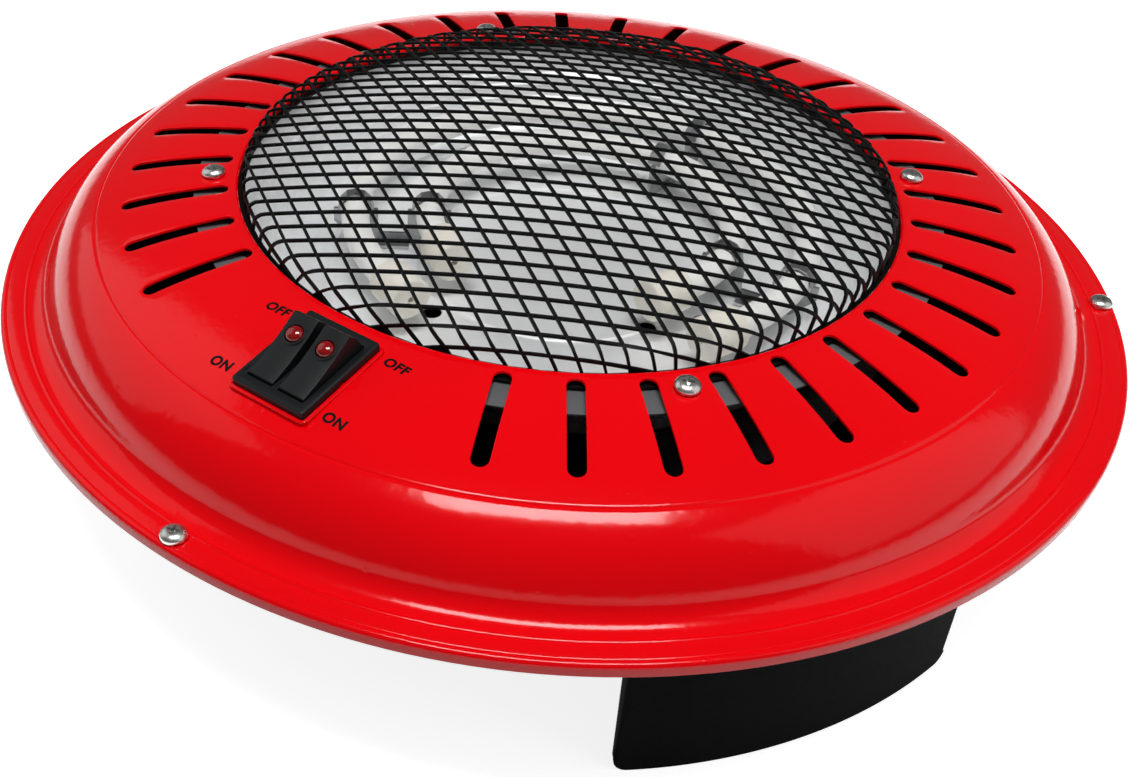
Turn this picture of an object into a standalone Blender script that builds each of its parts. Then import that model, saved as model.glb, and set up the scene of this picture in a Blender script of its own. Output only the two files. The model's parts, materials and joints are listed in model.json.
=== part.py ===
"""Electric brazier: a round floor heater that stands on three curved feet under a table.

All sizes are metres. Z is up, the floor is at zero, and the rocker switch faces -Y. Angles round
the brazier start at the switch and run clockwise as seen from above. A rise is a height above the
lower edge of the cover's rim. A line lists radius and rise along one side of a sheet.
"""

import math

import bmesh
import bpy
from mathutils import Matrix, Vector

# Whole brazier
rim_radius = 0.195
rim_height = 0.0611
fit_gap = 0.0003
cut_overrun = 0.004
merge_distance = 0.000001
round_steps = 52
plain_steps = 32
small_steps = 8
sharp_angle = math.radians(35)
miter_share = 0.5
full_turn = 2 * math.pi

# Top cover, pressed from one enamelled steel sheet. Widths run inwards from the rim
cover_sheet = 0.0008
flange_width = 0.0090
hollow_width = 0.0076
wall_width = 0.0171
ring_width = 0.0478
opening_rise = 0.0365
lip_depth = 0.0023
ring_fall = 0.0047
ring_dip = 0.0040
ring_shares = (0.0, 0.4, 0.75, 1.0)
wall_foot_rise = 0.0093
shoulder_turn = math.radians(49)
shoulder_steps = 3
flange_rise = 0.0044
hollow_turn = math.radians(72)
hollow_steps = 2
rim_roll = 0.0016
rim_roll_steps = 1
flange_start_radius = rim_radius - flange_width
wall_foot_radius = flange_start_radius - hollow_width
crease_radius = wall_foot_radius - wall_width
opening_radius = crease_radius - ring_width

# Slots in the cover
slot_count = 32
slot_pitch = math.radians(10)
first_slot_angle = math.radians(25)
slot_inner_margin = 0.0031
slot_outer_margin = 0.0088
slot_width = 0.0054
slot_end_steps = 3
slot_inner_radius = opening_radius + slot_inner_margin
slot_outer_radius = crease_radius - slot_outer_margin

# Screws, nuts and rivets
screw_head_radius = 0.0040
screw_head_height = 0.0025
screw_chamfer_share = 1 / 3
screw_shank_radius = 0.0018
screw_length = 0.0090
screw_hole_clearance = 0.0007
nut_radius = 0.0035
nut_height = 0.0026
nut_play = 0.0002
nut_sides = 6
top_screw_angles = [math.radians(50), math.radians(130), math.radians(230), math.radians(310)]
top_screw_inset = 0.0084
top_screw_radius = opening_radius + top_screw_inset
flange_screw_count = 3
nut_edge_gap = 0.0005
flange_screw_radius = rim_radius - cover_sheet - nut_edge_gap - nut_radius
rivet_head_radius = 0.0032
rivet_head_height = 0.0014
rivet_crown_share = 0.5
rivet_shank_radius = 0.0015

# Base pan
pan_sheet = 0.0008
pan_edge_gap = 0.0017
pan_flange_width = 0.0275
pan_corner = 0.0060
pan_corner_steps = 2
pan_floor_rise = -0.0270
pan_flange_radius = rim_radius - cover_sheet - pan_edge_gap
pan_wall_radius = pan_flange_radius - pan_flange_width
pan_vent_count = 10
pan_vent_length = 0.0300
pan_vent_width = 0.0050

# Feet
foot_count = 3
first_foot_angle = math.radians(60)
foot_sheet = 0.0015
foot_offset = 0.0125
foot_radius = pan_wall_radius + foot_offset
foot_half_span = math.radians(19.5)
foot_top_half_span = math.radians(19.2)
foot_corner_span = math.radians(1.0)
foot_corner_height = 0.0060
foot_return = 0.0090
foot_knee_share = 0.3
foot_steps = 8
foot_rivet_span = math.radians(13)

# Heat shield and its spacers
shield_sheet = 0.0006
shield_margin = 0.0470
shield_radius = pan_wall_radius - shield_margin
shield_rise = -0.0110
shield_edge = 0.0060
spacer_count = 3
spacer_inset = 0.0180
spacer_circle_radius = shield_radius - spacer_inset
spacer_radius = 0.0045
spacer_bore_radius = 0.0022
first_spacer_angle = math.radians(30)
pan_vent_inset = 0.0300
pan_vent_radius = spacer_circle_radius - pan_vent_inset

# Reflector bowl
reflector_sheet = 0.0005
reflector_floor_rise = 0.0009
reflector_floor_inset = 0.0160
reflector_floor_radius = opening_radius - reflector_floor_inset
reflector_toe = 0.0025
reflector_ledge_inset = 0.0050
reflector_ledge_radius = opening_radius - reflector_ledge_inset
reflector_ledge_rise = 0.0225
reflector_ledge_width = 0.0014
reflector_flange_width = 0.0150

# Mesh guard of expanded steel
guard_sheet = 0.0009
guard_height = 0.0207
guard_crown_rise = 0.0112
guard_play = 0.0015
guard_wall_radius = opening_radius - guard_play
guard_edge_radius = 0.0040
guard_overlap = 0.0045
guard_flange_radius = opening_radius + guard_overlap
guard_mesh_length = 0.0292
guard_mesh_width = 0.0175
guard_strand = 0.0012
guard_sides = 40
guard_halvings = 8
guard_weld = 0.0012
guard_least_room = 0.0022

# Quartz tubes, heating coils and their holders, round a centre behind the brazier's axis
ring_setback = 0.0115
tube_rise = 0.0149
tube_radius = 0.0050
tube_wall = 0.0011
tube_bore_radius = tube_radius - tube_wall
tube_straight = 0.0090
tube_step_angle = math.radians(12)
tube_sides = 8
coil_play = 0.0006
coil_radius = tube_bore_radius - coil_play
coil_sides = 5
outer_ring_margin = 0.0160
outer_ring_radius = reflector_floor_radius - outer_ring_margin
outer_ring_angles = (math.radians(20), math.radians(288))
inner_ring_share = 0.67485
inner_ring_radius = outer_ring_radius * inner_ring_share
inner_ring_angles = (math.radians(32), math.radians(288))
cap_wall = 0.0022
cap_radius = tube_radius + fit_gap + cap_wall
cap_length = 0.0150
cap_socket = 0.0080
cap_lead_radius = 0.0012
cap_steps = 10
bracket_angles = [math.radians(53), math.radians(181), math.radians(262)]
bracket_sheet = 0.0012
bracket_post = 0.0022
bracket_bar = 0.0040
bracket_notch_steps = 6
bracket_tab_width = 0.0100
bracket_tab_length = 0.0120
clip_sheet = 0.0007
clip_width = 0.0050
clip_steps = 6

# Rocker switch. A rocker's top is an arc over a chord, which lies above the pivot
switch_shift = 0.0027
switch_guard_gap = 0.0048
bezel_side = 0.0018
bezel_end = 0.0026
bezel_height = 0.0025
bezel_bevel = 0.0006
bezel_bevel_steps = 2
rocker_width = 0.0091
rocker_chord = 0.0224
rocker_height = 0.0067
rocker_dish = 0.0008
rocker_pivot_depth = 0.0024
rocker_half_swing = math.radians(19)
rocker_skirt_angle = math.radians(14)
rocker_skirt_steps = 3
rocker_top_steps = 6
rocker_side_play = 0.0003
rocker_end_play = 0.0004
rocker_floor_room = 0.0020
divider_width = 0.0019
body_wall = 0.0010
body_floor = 0.0080
pin_radius = 0.0010
pin_play = 0.0003
lens_radius = 0.0027
lens_dome = 0.0016
lens_dome_steps = 3
lens_depth = 0.0024
lens_reach = 0.0049

# Electrical parts under the shield
gland_angle = math.radians(125)
gland_margin = 0.0005
gland_bore_radius = 0.0040
gland_barrel_radius = 0.0060
gland_flange_radius = 0.0085
gland_flange_sheet = 0.0022
gland_rise = pan_floor_rise + pan_corner + gland_flange_radius + gland_margin
block_angle = math.radians(95)
block_inset = 0.0250
block_circle_radius = pan_wall_radius - block_inset
block_length = 0.0300
block_width = 0.0160
block_height = 0.0120
block_ways = 3
block_way_radius = 0.0022
block_bevel = 0.0010
cutout_angle = math.radians(200)
cutout_circle_radius = 0.0500
cutout_radius = 0.0075
cutout_height = 0.0060
cutout_step = 0.0020
earth_angle = math.radians(75)
earth_inset = 0.0200
earth_circle_radius = pan_wall_radius - earth_inset

# Colour, roughness and metallic value of each finish
finishes = {
    "red_enamel": ((0.66, 0.004, 0.012), 0.16, 0.0),
    "black_paint": ((0.018, 0.018, 0.020), 0.55, 0.0),
    "galvanised_steel": ((0.42, 0.43, 0.44), 0.42, 1.0),
    "polished_aluminium": ((0.78, 0.79, 0.80), 0.18, 1.0),
    "frosted_quartz": ((0.86, 0.86, 0.84), 0.35, 0.0),
    "resistance_wire": ((0.20, 0.18, 0.17), 0.50, 1.0),
    "cream_ceramic": ((0.74, 0.68, 0.55), 0.60, 0.0),
    "charcoal_plastic": ((0.022, 0.026, 0.029), 0.42, 0.0),
    "white_plastic": ((0.70, 0.70, 0.67), 0.50, 0.0),
    "red_lens": ((0.60, 0.010, 0.014), 0.12, 0.0),
    "zinc_plate": ((0.58, 0.58, 0.57), 0.30, 1.0),
}


def clear_scene():
    for obj in list(bpy.data.objects):
        bpy.data.objects.remove(obj)


def finish(name):
    """The Principled material of this finish, made the first time that it is asked for."""
    material = bpy.data.materials.get(name)
    if material:
        return material
    colour, roughness, metallic = finishes[name]
    material = bpy.data.materials.new(name)
    material.use_nodes = True
    shader = material.node_tree.nodes["Principled BSDF"]
    shader.inputs["Base Color"].default_value = (*colour, 1)
    shader.inputs["Roughness"].default_value = roughness
    shader.inputs["Metallic"].default_value = metallic
    return material


def add_object(name, bm, finish_name, frame):
    """Turns the bmesh into an object with this finish, placed by the frame."""
    bmesh.ops.recalc_face_normals(bm, faces=bm.faces)
    mesh = bpy.data.meshes.new(name)
    bm.to_mesh(mesh)
    bm.free()
    mesh.materials.append(finish(finish_name))
    mesh.shade_smooth()
    mesh.set_sharp_from_angle(angle=sharp_angle)
    return add_copy(name, mesh, frame)


def add_copy(name, mesh, frame):
    obj = bpy.data.objects.new(name, mesh)
    bpy.context.scene.collection.objects.link(obj)
    obj.matrix_world = frame
    return obj


def add_cutter(name, bm, frame):
    """A wire-drawn helper that shapes another piece and is no piece itself."""
    cutter = add_object(name, bm, "black_paint", frame)
    cutter.hide_render = True
    cutter.display_type = "WIRE"
    return cutter


def combine(obj, other, operation):
    modifier = obj.modifiers.new(other.name, "BOOLEAN")
    modifier.operation = operation
    modifier.solver = "EXACT"
    modifier.object = other


def around(radius, angle, rise):
    """The point at this radius, angle and rise."""
    return Vector((-radius * math.sin(angle), -radius * math.cos(angle), rim_height + rise))


def frame_at(radius, angle, rise, tilt=0.0):
    """A frame whose Y axis points at the brazier's axis and which leans outwards by the tilt."""
    turn = Matrix.Rotation(-angle, 4, "Z")
    lean = Matrix.Rotation(tilt, 4, "X")
    return Matrix.Translation(around(radius, angle, rise)) @ turn @ lean


def centre_frame():
    return Matrix.Translation((0, 0, rim_height))


def offset_line(line, distance):
    """The line moved sideways, to the right of its direction where the distance is positive."""
    points = [Vector(point) for point in line]
    directions = [(b - a).normalized() for a, b in zip(points, points[1:])]
    befores = [directions[0]] + directions
    afters = directions + [directions[-1]]
    moved = []
    for point, before, after in zip(points, befores, afters):
        middle = (before + after).normalized()
        stretch = distance / max(middle.dot(before), miter_share)
        moved.append((point.x + middle.y * stretch, point.y - middle.x * stretch))
    return moved


def sheet_outline(line, thickness):
    """The closed outline of a sheet that has this line as one side."""
    return list(line) + offset_line(line, thickness)[::-1]


def arc_between(start, end, turn, steps):
    """Points from start to end on an arc that turns right by this angle, both ends included."""
    start = Vector(start)
    end = Vector(end)
    chord = end - start
    radius = chord.length / (2 * math.sin(abs(turn) / 2))
    side = math.copysign(1, turn)
    right = Vector((chord.y, -chord.x)).normalized() * side
    centre = (start + end) / 2 + right * radius * math.cos(turn / 2)
    spoke = start - centre
    points = []
    for step in range(steps + 1):
        angle = -turn * step / steps
        cosine, sine = math.cos(angle), math.sin(angle)
        turned = Vector((spoke.x * cosine - spoke.y * sine, spoke.x * sine + spoke.y * cosine))
        points.append(tuple(centre + turned))
    return points


def turned(outline, steps):
    """A bmesh of an outline turned once round the Z axis. It is closed, or runs axis to axis."""
    bm = bmesh.new()
    verts = [bm.verts.new((radius, 0, height)) for radius, height in outline]
    edges = [bm.edges.new(pair) for pair in zip(verts, verts[1:])]
    if outline[0][0] > 0:
        edges.append(bm.edges.new((verts[-1], verts[0])))
    bmesh.ops.spin(
        bm, geom=verts + edges, axis=(0, 0, 1), cent=(0, 0, 0),
        angle=full_turn, steps=steps, use_merge=True,
    )
    bmesh.ops.remove_doubles(bm, verts=bm.verts, dist=merge_distance)
    return bm


def add_prism(bm, outline, depth, frame):
    """Adds a flat outline in the frame's XY plane, extruded along its Z axis by the depth."""
    verts = [bm.verts.new((x, y, 0)) for x, y in outline]
    face = bm.faces.new(verts)
    grown = bmesh.ops.extrude_face_region(bm, geom=[face])["geom"]
    far = [item for item in grown if isinstance(item, bmesh.types.BMVert)]
    bmesh.ops.translate(bm, verts=far, vec=(0, 0, depth))
    bmesh.ops.transform(bm, matrix=frame, verts=verts + far)


def add_block(bm, size, centre):
    """Adds a box of this size."""
    place = Matrix.Translation(centre) @ Matrix.Diagonal((*size, 1))
    bmesh.ops.create_cube(bm, size=1, matrix=place)


def add_rod(bm, radius, length, steps, frame):
    """Adds a solid round rod that runs up from the frame's origin, its corners off the axes."""
    place = frame @ Matrix.Translation((0, 0, length / 2)) @ Matrix.Rotation(math.pi / steps / 2, 4, "Z")
    bmesh.ops.create_cone(
        bm, cap_ends=True, segments=steps, radius1=radius, radius2=radius, depth=length, matrix=place,
    )


def ring_share(radius):
    return (radius - opening_radius) / ring_width


def cover_rise(radius):
    """Rise of the cover's slotted ring, which falls outwards and bends down to its crease."""
    share = ring_share(radius)
    return opening_rise - ring_fall * share - ring_dip * share ** 3


def cover_slope(radius):
    """Downward slope angle of the slotted ring."""
    fall = ring_fall + 3 * ring_dip * ring_share(radius) ** 2
    return math.atan(fall / ring_width)


def cover_line():
    """Outer side of the cover: lip, slotted ring, shoulder, hollow, flange and rolled rim."""
    ring_radii = [opening_radius + ring_width * share for share in ring_shares]
    ring = [(radius, cover_rise(radius)) for radius in ring_radii]
    foot = (wall_foot_radius, wall_foot_rise)
    shoulder = arc_between(ring[-1], foot, shoulder_turn, shoulder_steps)
    flange_start = (flange_start_radius, flange_rise)
    hollow = arc_between(foot, flange_start, -hollow_turn, hollow_steps)
    roll_start = (rim_radius - rim_roll, flange_rise)
    roll_end = (rim_radius, flange_rise - rim_roll)
    roll = arc_between(roll_start, roll_end, math.pi / 2, rim_roll_steps)
    lip = [(opening_radius, opening_rise - lip_depth)]
    return lip + ring + shoulder[1:] + hollow[1:] + roll + [(rim_radius, 0)]


def slot_outline():
    """A radial slot with round ends, along -Y from the brazier's axis."""
    half = slot_width / 2
    inner = slot_inner_radius + half
    outer = slot_outer_radius - half
    points = []
    for centre, start in ((inner, 0.0), (outer, math.pi)):
        for step in range(slot_end_steps + 1):
            angle = start + math.pi * step / slot_end_steps
            points.append((half * math.cos(angle), -centre + half * math.sin(angle)))
    return points


def slot_angles():
    """Slots run in even steps from both sides of the switch."""
    one_side = [first_slot_angle + slot_pitch * step for step in range(slot_count // 2)]
    return one_side + [-angle for angle in one_side]


def flange_screw_angles():
    return [full_turn * step / flange_screw_count for step in range(flange_screw_count)]


def well_width():
    return rocker_width + 2 * rocker_side_play


def rocker_end_radius():
    """Radius of a rocker's round ends about its pivot."""
    return math.hypot(rocker_chord / 2, rocker_height)


def well_length():
    return 2 * (rocker_end_radius() + rocker_end_play)


def well_depth():
    """Depth of the wells, with room for a rocker's lowest corner."""
    corner = rocker_end_radius() * math.sin(rocker_skirt_angle + rocker_half_swing)
    return rocker_pivot_depth + corner + rocker_floor_room


def rocker_offset():
    """Distance of a rocker's middle from the middle of the switch."""
    return (well_width() + divider_width) / 2


def body_width():
    return 2 * well_width() + divider_width + 2 * body_wall


def body_length():
    return well_length() + 2 * body_wall


def switch_frame():
    """Frame on the cover under the middle of the switch, with Z along the cover's normal."""
    radius = guard_flange_radius + switch_guard_gap + body_length() / 2
    place = frame_at(radius, 0.0, cover_rise(radius), cover_slope(radius))
    return place @ Matrix.Translation((switch_shift, 0, 0))


def make_cover():
    """The cover with its slots, screw holes and switch opening."""
    bm = turned(sheet_outline(cover_line(), cover_sheet), round_steps)
    cover = add_object("top_cover", bm, "red_enamel", centre_frame())
    holes = bmesh.new()
    low = cover_rise(slot_outer_radius) - cover_sheet - cut_overrun
    high = opening_rise + cut_overrun
    for angle in slot_angles():
        place = Matrix.Rotation(-angle, 4, "Z") @ Matrix.Translation((0, 0, rim_height + low))
        add_prism(holes, slot_outline(), high - low, place)
    hole_radius = screw_shank_radius + screw_hole_clearance
    for angle in top_screw_angles:
        place = frame_at(top_screw_radius, angle, low)
        add_rod(holes, hole_radius, high - low, small_steps, place)
    for angle in flange_screw_angles():
        place = frame_at(flange_screw_radius, angle, flange_rise - cover_sheet - cut_overrun)
        add_rod(holes, hole_radius, cover_sheet + 2 * cut_overrun, small_steps, place)
    combine(cover, add_cutter("cover_holes", holes, Matrix.Identity(4)), "DIFFERENCE")
    opening = bmesh.new()
    size = (body_width() + 2 * fit_gap, body_length() + 2 * fit_gap, 2 * cut_overrun)
    add_block(opening, size, (0, 0, 0))
    combine(cover, add_cutter("switch_opening", opening, switch_frame()), "DIFFERENCE")


def screw_outline(length):
    """A pan head over a plain shank. The head sits on the origin's level."""
    edge = screw_head_height * screw_chamfer_share
    return [
        (0, screw_head_height), (screw_head_radius - edge, screw_head_height),
        (screw_head_radius, screw_head_height - edge), (screw_head_radius, 0),
        (screw_shank_radius, 0), (screw_shank_radius, -length), (0, -length),
    ]


def nut_outline():
    """A plain nut under the origin's level, with play round the screw's shank."""
    bore = (screw_shank_radius + nut_play) / math.cos(math.pi / nut_sides)
    return [(bore, 0), (nut_radius, 0), (nut_radius, -nut_height), (bore, -nut_height)]


def make_top_screws():
    """Screws that hold the guard and the reflector under the cover, and their nuts."""
    screws = turned(screw_outline(screw_length), small_steps)
    nuts = turned(nut_outline(), nut_sides)
    tilt = cover_slope(top_screw_radius)
    drop = cover_rise(top_screw_radius) - reflector_flange_rise() + reflector_sheet
    seat = (drop + nut_radius * math.sin(tilt)) / math.cos(tilt) + fit_gap
    for number, angle in enumerate(top_screw_angles, 1):
        place = frame_at(top_screw_radius, angle, cover_rise(top_screw_radius), tilt)
        above = place @ Matrix.Translation((0, 0, fit_gap))
        below = place @ Matrix.Translation((0, 0, -seat))
        add_object(f"top_screw_{number}", screws.copy(), "zinc_plate", above)
        add_object(f"top_nut_{number}", nuts.copy(), "zinc_plate", below)
    screws.free()
    nuts.free()


def pan_flange_rise():
    """Upper side of the pan's flange, just under the cover's flange."""
    return flange_rise - cover_sheet - fit_gap


def make_flange_screws():
    """Screws that join the cover's flange to the pan's, and their nuts."""
    screws = turned(screw_outline(screw_length), small_steps)
    nuts = turned(nut_outline(), nut_sides)
    for number, angle in enumerate(flange_screw_angles(), 1):
        above = frame_at(flange_screw_radius, angle, flange_rise + fit_gap)
        below = frame_at(flange_screw_radius, angle, pan_flange_rise() - pan_sheet - fit_gap)
        add_object(f"flange_screw_{number}", screws.copy(), "zinc_plate", above)
        add_object(f"flange_nut_{number}", nuts.copy(), "black_paint", below)
    screws.free()
    nuts.free()


def pan_line():
    """Outer and lower side of the pan, from the middle of its floor to its flange's edge."""
    low = pan_floor_rise
    flange = pan_flange_rise() - pan_sheet
    corner_start = (pan_wall_radius - pan_corner, low)
    corner_end = (pan_wall_radius, low + pan_corner)
    corner = arc_between(corner_start, corner_end, -math.pi / 2, pan_corner_steps)
    return [(0, low)] + corner + [(pan_wall_radius, flange), (pan_flange_radius, flange)]


def foot_angles():
    return [first_foot_angle + full_turn * step / foot_count for step in range(foot_count)]


def rivet_angles():
    angles = foot_angles()
    return [angle + side * foot_rivet_span for angle in angles for side in (-1, 1)]


def rivet_circle_radius():
    """The rivets stand in the middle of the feet's upper tabs, clear of the plates."""
    return foot_radius - (foot_return + foot_sheet) / 2


def make_pan():
    """The base pan with its vents and the holes for screws, rivets and the cord's gland."""
    bm = turned(sheet_outline(pan_line(), -pan_sheet), plain_steps)
    pan = add_object("base_pan", bm, "black_paint", centre_frame())
    holes = bmesh.new()
    reach = pan_sheet + 2 * cut_overrun
    for step in range(pan_vent_count):
        angle = full_turn * (step + 0.5) / pan_vent_count
        place = frame_at(pan_vent_radius, angle, pan_floor_rise + pan_sheet / 2)
        size = (pan_vent_width, pan_vent_length, reach)
        bmesh.ops.create_cube(holes, size=1, matrix=place @ Matrix.Diagonal((*size, 1)))
    under_flange = pan_flange_rise() - pan_sheet - cut_overrun
    screw_hole = screw_shank_radius + screw_hole_clearance
    for angle in flange_screw_angles():
        place = frame_at(flange_screw_radius, angle, under_flange)
        add_rod(holes, screw_hole, reach, small_steps, place)
    for angle in rivet_angles():
        place = frame_at(rivet_circle_radius(), angle, under_flange)
        add_rod(holes, rivet_shank_radius + fit_gap, reach, small_steps, place)
    place = frame_at(earth_circle_radius, earth_angle, pan_floor_rise - cut_overrun)
    add_rod(holes, screw_hole, reach, small_steps, place)
    barrel = gland_frame() @ Matrix.Translation((0, 0, -cut_overrun))
    add_rod(holes, gland_barrel_radius + fit_gap, reach, cap_steps, barrel)
    combine(pan, add_cutter("pan_holes", holes, Matrix.Identity(4)), "DIFFERENCE")


def foot_section(half_span):
    """Points along one level of a foot's plate."""
    angles = [half_span * (2 * step / foot_steps - 1) for step in range(foot_steps + 1)]
    return [(foot_radius * math.sin(angle), -foot_radius * math.cos(angle)) for angle in angles]


def make_foot_shell():
    """A curved foot facing -Y: plate, upper tab and side returns that taper towards the floor."""
    bm = bmesh.new()
    top = rim_height + pan_flange_rise() - pan_sheet - fit_gap
    levels = [
        (0.0, foot_half_span - foot_corner_span),
        (foot_corner_height, foot_half_span),
        (top, foot_top_half_span),
    ]
    rows = []
    for height, half_span in levels:
        rows.append([bm.verts.new((x, y, height)) for x, y in foot_section(half_span)])
    for lower, upper in zip(rows, rows[1:]):
        for step in range(foot_steps):
            bm.faces.new((lower[step], lower[step + 1], upper[step + 1], upper[step]))
    inward = (foot_radius - foot_return) / foot_radius
    tab = [bm.verts.new((v.co.x * inward, v.co.y * inward, top)) for v in rows[-1]]
    for step in range(foot_steps):
        bm.faces.new((rows[-1][step], rows[-1][step + 1], tab[step + 1], tab[step]))
    for end in (0, foot_steps):
        knee = rows[1][end]
        slim = 1 - (1 - inward) * foot_knee_share
        inner = bm.verts.new((knee.co.x * slim, knee.co.y * slim, knee.co.z))
        bm.faces.new((knee, rows[2][end], tab[end], inner))
    return bm


def make_feet():
    """Three feet, each riveted under the pan's flange by its upper tab."""
    shell = make_foot_shell()
    for number, angle in enumerate(foot_angles(), 1):
        turn = Matrix.Rotation(-angle, 4, "Z")
        foot = add_object(f"foot_{number}", shell.copy(), "black_paint", turn)
        sheet = foot.modifiers.new("Sheet", "SOLIDIFY")
        sheet.thickness = foot_sheet
        sheet.offset = -1
        holes = bmesh.new()
        start = pan_flange_rise() - pan_sheet - fit_gap - foot_sheet - cut_overrun
        for side in (-1, 1):
            place = frame_at(rivet_circle_radius(), angle + side * foot_rivet_span, start)
            add_rod(holes, rivet_shank_radius + fit_gap, foot_sheet + 2 * cut_overrun, small_steps, place)
        combine(foot, add_cutter(f"foot_holes_{number}", holes, Matrix.Identity(4)), "DIFFERENCE")
    shell.free()


def make_rivets():
    """Rivets through the pan's flange and the feet's tabs, headed at both ends."""
    grip = pan_sheet + foot_sheet + 3 * fit_gap
    crown = rivet_head_radius * rivet_crown_share
    outline = [
        (0, rivet_head_height), (crown, rivet_head_height),
        (rivet_head_radius, 0), (rivet_shank_radius, 0), (rivet_shank_radius, -grip),
        (rivet_head_radius, -grip), (crown, -grip - rivet_head_height),
        (0, -grip - rivet_head_height),
    ]
    bm = turned(outline, small_steps)
    for number, angle in enumerate(rivet_angles(), 1):
        place = frame_at(rivet_circle_radius(), angle, pan_flange_rise() + fit_gap)
        add_object(f"foot_rivet_{number}", bm.copy(), "zinc_plate", place)
    bm.free()


def make_shield():
    """The heat shield, a flat disc with a turned-up edge, on three spacers."""
    line = [
        (0, shield_rise), (shield_radius, shield_rise), (shield_radius, shield_rise + shield_edge),
    ]
    bm = turned(sheet_outline(line, -shield_sheet), plain_steps)
    add_object("heat_shield", bm, "galvanised_steel", centre_frame())
    low = pan_floor_rise + pan_sheet + fit_gap
    high = shield_rise - fit_gap
    outline = [
        (spacer_bore_radius, low), (spacer_radius, low),
        (spacer_radius, high), (spacer_bore_radius, high),
    ]
    tube = turned(outline, small_steps)
    for number in range(1, spacer_count + 1):
        angle = first_spacer_angle + full_turn * (number - 1) / spacer_count
        place = frame_at(spacer_circle_radius, angle, 0.0)
        add_object(f"shield_spacer_{number}", tube.copy(), "zinc_plate", place)
    tube.free()


def reflector_flange_rise():
    """Upper side of the reflector's flange, under the guard's flange and the cover's lip."""
    return guard_flange_rise() - guard_sheet - fit_gap


def reflector_line():
    """Bright side of the bowl, from the middle of its floor to its flange's edge."""
    floor = reflector_floor_rise
    flange = reflector_flange_rise()
    return [
        (0, floor),
        (reflector_floor_radius, floor),
        (reflector_floor_radius + reflector_toe, floor + reflector_toe),
        (reflector_ledge_radius, reflector_ledge_rise),
        (reflector_ledge_radius + reflector_ledge_width, reflector_ledge_rise),
        (opening_radius, flange),
        (opening_radius + reflector_flange_width, flange),
    ]


def make_reflector():
    """The reflector bowl, notched round the switch and pierced for the top screws."""
    bm = turned(sheet_outline(reflector_line(), reflector_sheet), plain_steps)
    bowl = add_object("reflector", bm, "polished_aluminium", centre_frame())
    holes = bmesh.new()
    start = reflector_flange_rise() - reflector_sheet - cut_overrun
    for angle in top_screw_angles:
        place = frame_at(top_screw_radius, angle, start)
        reach = reflector_sheet + 2 * cut_overrun
        add_rod(holes, screw_shank_radius + screw_hole_clearance, reach, small_steps, place)
    combine(bowl, add_cutter("reflector_holes", holes, Matrix.Identity(4)), "DIFFERENCE")
    notch = bmesh.new()
    size = (body_width() + 2 * fit_gap, body_length() + 4 * fit_gap, 2 * body_depth())
    add_block(notch, size, (0, 0, 0))
    combine(bowl, add_cutter("reflector_notch", notch, switch_frame()), "DIFFERENCE")


def guard_flange_rise():
    """Upper side of the guard's flange, under the cover's inner lip."""
    return opening_rise - lip_depth - fit_gap


def crown_radius():
    """Radius of the domed crown, from its rise over the width inside the rounded edge."""
    half = guard_wall_radius - guard_edge_radius
    return (half ** 2 + guard_crown_rise ** 2) / (2 * guard_crown_rise)


def crown_centre_rise():
    return guard_flange_rise() + guard_height - crown_radius()


def guard_edge_angle():
    """Slope of the crown where it meets the rounded edge."""
    return math.asin((guard_wall_radius - guard_edge_radius) / (crown_radius() - guard_edge_radius))


def guard_lengths():
    """Lengths along the guard's section from its middle to the ends of crown, edge and wall."""
    angle = guard_edge_angle()
    crown = crown_radius() * angle
    edge = crown + guard_edge_radius * (math.pi / 2 - angle)
    wall_top = crown_centre_rise() + (crown_radius() - guard_edge_radius) * math.cos(angle)
    return crown, edge, edge + wall_top - guard_flange_rise()


def guard_point(length):
    """Radius and rise on the guard's section at this length from its middle."""
    crown, edge, wall = guard_lengths()
    centre_rise = crown_centre_rise()
    if length <= crown:
        turn = length / crown_radius()
        return crown_radius() * math.sin(turn), centre_rise + crown_radius() * math.cos(turn)
    if length >= edge:
        return guard_wall_radius + max(length - wall, 0), guard_flange_rise() + max(wall - length, 0)
    inner = crown_radius() - guard_edge_radius
    angle = guard_edge_angle()
    turn = angle + (length - crown) / guard_edge_radius
    radius = inner * math.sin(angle) + guard_edge_radius * math.sin(turn)
    return radius, centre_rise + inner * math.cos(angle) + guard_edge_radius * math.cos(turn)


def guard_cells():
    """Flat diamonds, the long way along X, trimmed to a many-sided disc."""
    reach = guard_lengths()[2]
    half_long, half_wide = guard_mesh_length / 2, guard_mesh_width / 2
    count = 2 * math.ceil(reach * (1 / guard_mesh_length + 1 / guard_mesh_width)) + 2
    bm = bmesh.new()
    bmesh.ops.create_grid(bm, x_segments=count, y_segments=count, size=count / 2)
    skew = Matrix(((half_long, half_long, 0, 0), (half_wide, -half_wide, 0, 0),
                   (0, 0, 1, 0), (0, 0, 0, 1)))
    bmesh.ops.transform(bm, matrix=skew, verts=bm.verts)
    for side in range(guard_sides):
        angle = full_turn * (side + 0.5) / guard_sides
        away = Vector((math.cos(angle), math.sin(angle), 0))
        geometry = list(bm.verts) + list(bm.edges) + list(bm.faces)
        bmesh.ops.bisect_plane(
            bm, geom=geometry, plane_co=away * reach, plane_no=away,
            clear_outer=True, dist=merge_distance,
        )
    return bm


def split_at_circle(bm, radius):
    """Adds a point where an edge crosses this circle, so that the strand can bend there."""
    for edge in list(bm.edges):
        near, far = sorted(edge.verts, key=lambda vert: vert.co.length)
        if not near.co.length < radius < far.co.length:
            continue
        low, high = 0.0, 1.0
        for _ in range(guard_halvings):
            middle = (low + high) / 2
            inside = near.co.lerp(far.co, middle).length < radius
            low, high = (middle, high) if inside else (low, middle)
        bmesh.utils.edge_split(edge, near, low)


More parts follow.
